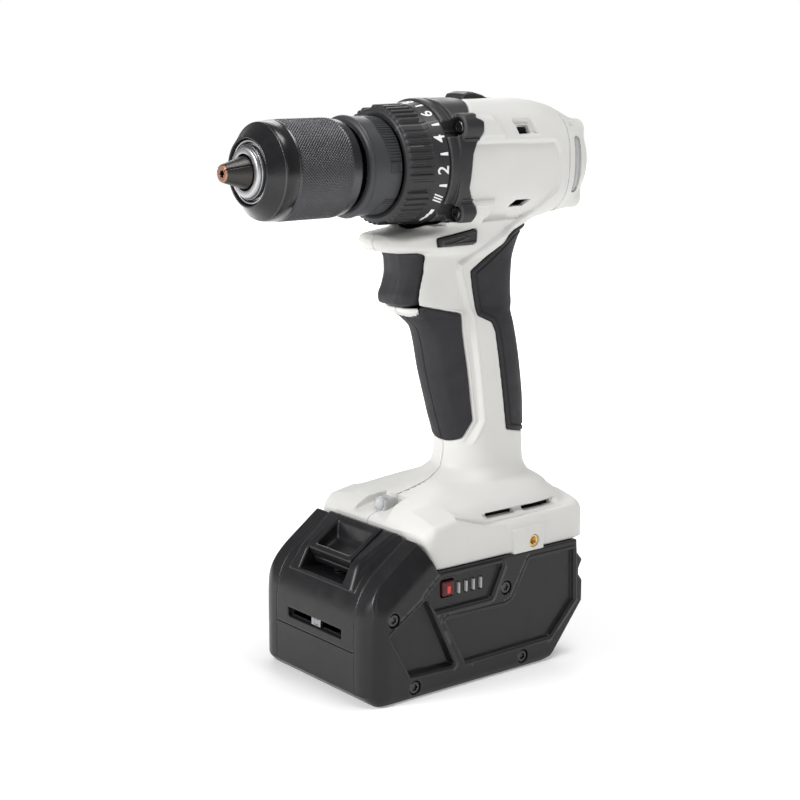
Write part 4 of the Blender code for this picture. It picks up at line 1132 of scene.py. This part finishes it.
def floor_material():
    """A white floor that glows more with distance, so that no horizon shows."""
    material, tree, shader = tree_of("Studio_Floor")
    tone = spread(tree, noise(tree, 2.0, 2.0), 0.2, 0.8, 0.0, 1.0)
    tree.links.new(mixed(tree, tone, (0.80, 0.80, 0.80), (0.82, 0.82, 0.82)), shader.inputs["Base Color"])
    shader.inputs["Roughness"].default_value = 0.8
    shader.inputs["Emission Color"].default_value = (1.0, 1.0, 1.0, 1.0)
    place = tree.nodes.new("ShaderNodeTexCoord")
    reach = tree.nodes.new("ShaderNodeVectorMath")
    reach.operation = "LENGTH"
    tree.links.new(place.outputs["Object"], reach.inputs[0])
    glow = spread(tree, reach.outputs["Value"], 0.2, 0.75, 0.25, 1.0)
    tree.links.new(glow, shader.inputs["Emission Strength"])
    return material


# ---------------------------------------------------------------- printed marks

def ring_point(across, along, degrees, y, lift):
    """A point of a mark that is wrapped on the torque ring. along runs towards the chuck."""
    back = y - along
    angle = math.radians(degrees)
    radius = float(clutch_radius(np.array(back), np.array(math.radians(20.0)))) + lift
    turn = angle + across / radius
    return (radius * math.cos(turn), back, AXIS_Z + radius * math.sin(turn))


def wrap_outline(name, outline, degrees, y, thick=0.16):
    """A thin closed mark on the torque ring from a list of (across, along) points, filled by short strips."""
    made = bmesh.new()
    corners = [made.verts.new((u, v, 0)) for u, v in outline]
    made.faces.new(corners)
    return wrapped(name, made, degrees, y, thick)


def wrapped(name, flat, degrees, y, thick):
    """Wraps a flat bmesh face set on the ring, after cutting it into narrow strips, and gives it thickness."""
    for cut in np.arange(-6.0, 6.01, 0.5):
        for normal in ((1, 0, 0), (0, 1, 0)):
            where = Vector(normal) * float(cut)
            bmesh.ops.bisect_plane(flat, geom=flat.verts[:] + flat.edges[:] + flat.faces[:], plane_co=where,
                                   plane_no=normal, dist=1e-5)
    bmesh.ops.triangulate(flat, faces=flat.faces[:])
    flat.verts.ensure_lookup_table()
    points = [tuple(v.co[:2]) for v in flat.verts]
    faces = [[v.index for v in f.verts] for f in flat.faces]
    if sum((f.normal.z for f in flat.faces)) < 0:
        faces = [f[::-1] for f in faces]
    count = len(points)
    top = [ring_point(u, v, degrees, y, thick * 0.5) for u, v in points]
    low = [ring_point(u, v, degrees, y, -thick * 1.5) for u, v in points]
    rim = {}
    for f in faces:
        for a, b in zip(f, f[1:] + f[:1]):
            rim[(a, b)] = (b, a) not in rim or None
            if (b, a) in rim:
                rim[(b, a)] = None
    walls = []
    for (a, b), lone in rim.items():
        if lone:
            walls += [[b, a, a + count], [b, a + count, b + count]]
    under = [[i + count for i in f[::-1]] for f in faces]
    flat.free()
    return mesh_object(name, np.array(top + low), np.array(faces + under + walls))


def glyph(name, text, degrees, y, height, width):
    """A numeral wrapped on the ring, centred on its angle, its top towards the chuck."""
    curve = bpy.data.curves.new(name, "FONT")
    curve.body = text
    curve.resolution_u = 5
    curve.offset = 0.012
    holder = bpy.data.objects.new(name, curve)
    mesh = bpy.data.meshes.new_from_object(holder)
    flat = bmesh.new()
    flat.from_mesh(mesh)
    bpy.data.objects.remove(holder)
    bmesh.ops.remove_doubles(flat, verts=flat.verts[:], dist=1e-4)
    co = np.array([v.co[:2] for v in flat.verts])
    low, high = co.min(0), co.max(0)
    middle, size = (low + high) / 2, high - low
    wide = width * len(text) * 1.02
    for v in flat.verts:
        v.co = ((v.co.x - middle[0]) / size[0] * wide, (v.co.y - middle[1]) / size[1] * height, 0)
    return wrapped(name, flat, degrees, y, 0.16)


NUMBERS = 10
NUMBER_STEP = 29.5  # degrees between two numbers
TICK = [(-0.75, -2.4), (0.75, -2.4), (0.4, 1.4), (-0.4, 1.4)]


def build_marks():
    """Even numbers with ticks between them round the torque ring, then a hatch mark and a long tapered bar."""
    marks = []
    for n in range(NUMBERS):
        angle = -3.0 + NUMBER_STEP * n
        text = str(2 * n + 2)
        width = 3.5 if len(text) == 1 else 2.8
        marks.append(glyph(f"Ring_Number_{text}", text, angle, -7.9, 5.3, width))
        if n < NUMBERS - 1:
            marks.append(wrap_outline(f"Ring_Tick_{n + 1}", TICK, angle + NUMBER_STEP / 2, -7.6))
    marks.append(wrap_outline("Ring_Tick_0", TICK, -17.5, -7.6))
    for n in range(3):
        shift = -1.4 + 1.4 * n
        stroke = [(shift - 1.0, -2.2), (shift - 0.3, -2.2), (shift + 1.0, 2.2), (shift + 0.3, 2.2)]
        marks.append(wrap_outline(f"Ring_Hatch_{n + 1}", stroke, -31, -7.9))
    for n, (tail, tip) in enumerate(((0.9, 0.75), (0.75, 0.6), (0.6, 0.4))):
        bar = [(-1.6, -tip), (1.6, -tail), (1.6, tail), (-1.6, tip)]
        marks.append(wrap_outline(f"Ring_Bar_{n + 1}", bar, -48 - 6.8 * n, -7.4 - 0.5 * n))
    return marks


# ---------------------------------------------------------------- assembly

def finish_faces_below(obj, field, depth, material):
    """Gives the faces where a field lies below -depth a second material: painted shade deep in openings, so
    that they read as hollow, and the gauge button's bright red mark.
    """
    count = len(obj.data.polygons)
    centres = np.empty(count * 3, np.float32)
    obj.data.polygons.foreach_get("center", centres)
    X, Y, Z = centres.reshape(-1, 3).T / MM
    deep = field(X, Y, Z) < -depth
    obj.data.materials.append(material)
    obj.data.polygons.foreach_set("material_index", deep.astype(np.int32) * (len(obj.data.materials) - 1))


def place(obj, body, node, material):
    """Sets a piece's finish, the CAD node that it stands for and the body that it moves with."""
    if not obj.data.materials:
        obj.data.materials.append(material)
    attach(obj, body)
    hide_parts(node)


def place_all(pieces, body, looks, default):
    """Places each node's pieces on one body; looks holds the finishes that differ from the default, by name."""
    for node, made in pieces.items():
        for obj in made if isinstance(made, list) else [made]:
            place(obj, body, node, looks.get(obj.name, default))


# ---------------------------------------------------------------- scene


def dress_inner_nodes(frame, looks):
    """Gives the CAD nodes that stay visible inside the drill their finishes."""
    chosen = {"spindle": "steel", "planet": "steel", "ring_gear": "steel", "motor_can": "steel",
              "rotor": "winding", "cooling_fan": "black", "switch_body": "black", "control_board": "board",
              "trigger_spring": "steel", "latch_spring": "inside", "cell_row": "cell", "battery_board": "board"}
    for node, obj in frame["nodes"].items():
        for start, look in chosen.items():
            if node.startswith(start):
                obj.data.materials.clear()
                obj.data.materials.append(looks[look])


def hidden_depth(X, Y, Z):
    """The depth under the housing's skin, which sets where shade is painted inside openings; the work light's
    well gets none and stays as pale as the skin.
    """
    return skin(np.abs(X), Y, Z) + 99 * ((Y < -11.5) & (Z > 70) & (Z < 90))


def add_housing(looks):
    """The clamshell, pads, rear cap with its inserts, gearcase and collar."""
    pieces = build_housing()
    for side in ("left", "right"):
        shell = pieces[f"housing_{side}"]
        shell.data.materials.append(looks["white"])
        # faces deep in the openings are painted near-black as shade, so that the openings read as hollow
        finish_faces_below(shell, hidden_depth, PAINTED_SHADE_DEPTH, looks["inside"])
    place_all(pieces, "housing", {}, looks["rubber"])
    cap = field_mesh("Rear_Cap", cap_field, (-30, 65.5, 203), (30, 88.2, 262), 0.62)
    cap.data.materials.append(looks["white"])
    case = field_mesh("Gearcase", gearcase_field, (-31, -5, 203), (31, 21, 262.5), 0.55)
    place_all({"rear_cap": cap, "gearcase": case, **build_collar()}, "housing",
              {"Mode_Collar": looks["collar"]}, looks["black"])
    for side, label in ((1, "Left"), (-1, "Right")):
        bounds = sorted((side * 14, side * 28))
        insert = field_mesh(f"Cap_Louvre_{label}", slot_insert_field, (bounds[0], 70, 216),
                            (bounds[1], 76.5, 242.5), 0.4)
        place(insert, "housing", "rear_cap", looks["grey"])


def add_screws(looks):
    """Copies of two template screws: the gearcase's, the rear cap's and the battery's."""
    template = field_mesh("Screw_Template", screw_field(3.1, 1.6, 1.4), (-3.4, -3.4, -3.2), (3.4, 3.4, 1.9),
                          0.17)
    small = field_mesh("Small_Screw_Template", screw_field(2.5, 1.5, 1.2), (-2.8, -2.8, -3.2), (2.8, 2.8, 1.8),
                       0.17)
    template.data.materials.append(looks["screw"])
    small.data.materials.append(looks["screw"])
    for n, (x, z) in enumerate((*SCREWS, *((-x, z) for x, z in SCREWS))):
        screw = place_screw(template, f"Gearcase_Screw_{n + 1}", (x, 4.0, z), (0, -1, 0), 0.3 * n)
        place(screw, "housing", f"gearcase_screw_{n + 1}", looks["screw"])
    for side, label in ((1, "left"), (-1, "right")):
        ends = (("Rear_Screw", f"rear_screw_{label}", 0.4), ("Rear_Low_Screw", "rear_cap", 0.9))
        for (name, node, spin), (z, _, _, head) in zip(ends, CAP_POSTS):
            screw = place_screw(small, f"{name}_{label}", (side * CAP_SCREW_X, head, z), (0, 1, 0), spin)
            place(screw, "housing", node, looks["screw"])
        for n, (y, z) in enumerate(BATTERY_SCREWS):
            screw = place_screw(template, f"Battery_Screw_{label}_{n + 1}", (side * 40.5, y, z),
                                (side, 0, 0), 0.5 * n)
            place(screw, "battery", f"battery_screw_{label}_{n + 1}", looks["screw"])
    for unused in (template, small):
        bpy.data.objects.remove(unused)


def add_moulded(name, field, low, high, step, body, node, look):
    """Meshes a field and places it for its node."""
    obj = field_mesh(name, field, low, high, step)
    place(obj, body, node, look)
    return obj


def add_chuck(looks):
    """The chuck, its jaws, the torque ring and the ring's marks."""
    chuck = build_chuck()
    place_all({"chuck_sleeve": chuck["chuck_sleeve"]}, "sleeve",
              {"Chuck_Sleeve_Knurled": looks["gunmetal"], "Chuck_Edge_Highlight": looks["screw"]}, looks["gloss"])
    place_all({"chuck_body": chuck["chuck_body"], "chuck_nose_ring": chuck["chuck_nose_ring"]}, "spindle", {},
              looks["silver"])
    for node, made in build_jaws().items():
        body = node.replace("chuck_", "")
        place_all({node: made}, body, {made[1].name: looks["copper"]}, looks["jaw"])
    place_all(build_clutch(), "clutch", {}, looks["black"])
    for mark in build_marks():
        place(mark, "clutch", "clutch_ring", looks["ink"])


def add_controls(looks):
    """The trigger, slider, direction button, work light and belt-hook inserts."""
    add_moulded("Trigger", trigger_field, (-11.6, -19.6, 168), (11.6, -2.8, 193.2), 0.4,
                "trigger", "trigger", looks["dark_rubber"])
    add_moulded("Speed_Slider", slider_field, (-6.8, 19.6, 256.3), (6.8, 36.6, 262.9), 0.3,
                "speed", "speed_slider", looks["black"])
    add_moulded("Direction_Button", button_field, (-22.6, -4.6, 196), (22.6, 16.6, 203), 0.32,
                "direction", "direction_button", looks["black"])
    add_moulded("Lamp_Lens", lens_field, (-3.2, -25, 75), (3.2, -18, 81.6), 0.22,
                "housing", "lamp_lens", looks["lens"])
    add_moulded("Lamp_Holder", holder_field, (-5, -23.8, 74.2), (5, -14, 81.6), 0.3,
                "housing", "lamp_lens", looks["grey"])
    insert = field_mesh("Hook_Insert_Left", insert_field, (34.8, 31.8, 56.8), (41.6, 38.2, 63.2), 0.2)
    other = mirrored(insert, "Hook_Insert_Right")
    place(insert, "housing", "hook_insert_left", looks["brass"])
    place(other, "housing", "hook_insert_right", looks["brass"])


def front_slot_depth(X, Y, Z):
    """Negative on the walls and floor of the slot in the battery's front, where shade is painted."""
    return block(X, Y, Z, (-20.6, -59.5, 27.0), (20.6, -56.8, 31.9), 0.1)


def add_battery(looks):
    """The battery's two sides, its middle in two parts, the latch and the charge gauge."""
    for side, label in ((1, "left"), (-1, "right")):
        low, high = sorted((side * 29.2, side * 42.6))
        add_moulded(f"Battery_Side_{label}", shell_field(side), (low, -60.4, -0.3), (high, 66, 71), 0.55,
                    "battery", f"battery_shell_{label}", looks["satin"])
    upper = field_mesh("Battery_Upper", upper_field, (-29.8, -60.4, 23), (29.8, 66, 81), 0.76)
    upper.data.materials.append(looks["satin"])
    # the walls and floor of the front slot are painted near-black as shade
    finish_faces_below(upper, front_slot_depth, 0.0, looks["inside"])
    add_moulded("Slot_Tab", slot_tab_field, (-3.6, -59.2, 27.2), (3.6, -57, 31.5), 0.22,
                "battery", "battery_upper_case", looks["steel"])
    place(upper, "battery", "battery_upper_case", looks["satin"])
    add_moulded("Battery_Lower", lower_field, (-29.8, -60.4, -0.3), (29.8, 66, 23.6), 0.75,
                "battery", "battery_lower_case", looks["satin"])
    add_moulded("Latch_Button", latch_field, (-16, -52.4, 53), (16, -33.2, 74), 0.32,
                "latch", "latch_button", looks["satin"])
    button = field_mesh("Gauge_Button", gauge_field, (37.8, -19.6, 43.6), (42.4, -12.7, 50.9), 0.25)
    button.data.materials.append(looks["red"])
    finish_faces_below(button, lambda X, Y, Z: 41.95 - X, 0.0, looks["bright_red"])
    place(button, "gauge", "gauge_button", looks["red"])
    add_moulded("Gauge_Bars", bar_field, (38.8, -11, 43.6), (42, 4, 49), 0.22,
                "battery", "gauge_light_guide", looks["grey"])


# The photograph's view: degrees round from the front and up, the point looked at, and metres from it.
AZIMUTH, ELEVATION = 51.65, 11.73
TARGET = (0.0, -0.01062, 0.12507)
DISTANCE = 0.79075
LENS = 78.3


def add_camera():
    """The camera at the photograph's viewing angle."""
    across, up = math.radians(AZIMUTH), math.radians(ELEVATION)
    back = Vector((math.sin(across) * math.cos(up), -math.cos(across) * math.cos(up), math.sin(up)))
    camera = bpy.data.objects.new("Photo_Camera", bpy.data.cameras.new("Photo_Camera"))
    camera.location = Vector(TARGET) + back * DISTANCE
    camera.rotation_euler = back.to_track_quat("Z", "Y").to_euler()
    camera.data.lens = LENS
    camera.data.sensor_width = 36.0
    bpy.context.scene.collection.objects.link(camera)
    bpy.context.scene.camera = camera


# (position, size, power) of each soft box, which all aim at the middle of the drill.
SOFT_BOXES = [((-0.35, -1.35, 0.8), 0.5, 17.0), ((0.25, 0.25, 1.6), 0.7, 15.0),
              ((1.3, -0.5, 0.4), 0.5, 1.8), ((0.5, -1.4, 0.12), 0.5, 2.2),
              ((-1.2, 0.7, 0.9), 0.8, 6.0)]
FILL, BACKDROP = 0.26, 1.0  # how bright the white room is as light and as background


def add_light():
    """A white room and soft boxes."""
    world = bpy.data.worlds.new("Studio")
    world.use_nodes = True
    tree = world.node_tree
    background = tree.nodes["Background"]
    background.inputs["Color"].default_value = (1.0, 1.0, 1.0, 1.0)
    seen = tree.nodes.new("ShaderNodeLightPath").outputs["Is Camera Ray"]
    tree.links.new(spread(tree, seen, 0.0, 1.0, FILL, BACKDROP), background.inputs["Strength"])
    bpy.context.scene.world = world
    for n, (where, size, power) in enumerate(SOFT_BOXES):
        lamp = bpy.data.lights.new(f"Soft_Box_{n + 1}", "AREA")
        lamp.size = size
        lamp.energy = power
        holder = bpy.data.objects.new(lamp.name, lamp)
        holder.location = where
        holder.rotation_euler = (Vector(where) - Vector((0, 0, 0.13))).to_track_quat("Z", "Y").to_euler()
        bpy.context.scene.collection.objects.link(holder)


def add_floor():
    """A pale floor just under the battery, in small squares, and a plain view of its colours."""
    reach = 2.4
    count = 16
    line = np.linspace(-reach, reach, count + 1) / MM
    points = [(x, y, -0.05) for x in line for y in line]
    row = count + 1
    faces = [[i * row + j, (i + 1) * row + j, (i + 1) * row + j + 1, i * row + j + 1]
             for i in range(count) for j in range(count)]
    floor = mesh_object("Studio_Floor", points, faces)
    floor.data.materials.append(floor_material())
    bpy.context.scene.view_settings.view_transform = "Standard"


def main():
    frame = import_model()
    looks = make_materials()
    dress_inner_nodes(frame, looks)
    add_housing(looks)
    add_screws(looks)
    add_chuck(looks)
    add_controls(looks)
    add_battery(looks)
    add_camera()
    add_light()
    add_floor()


main()
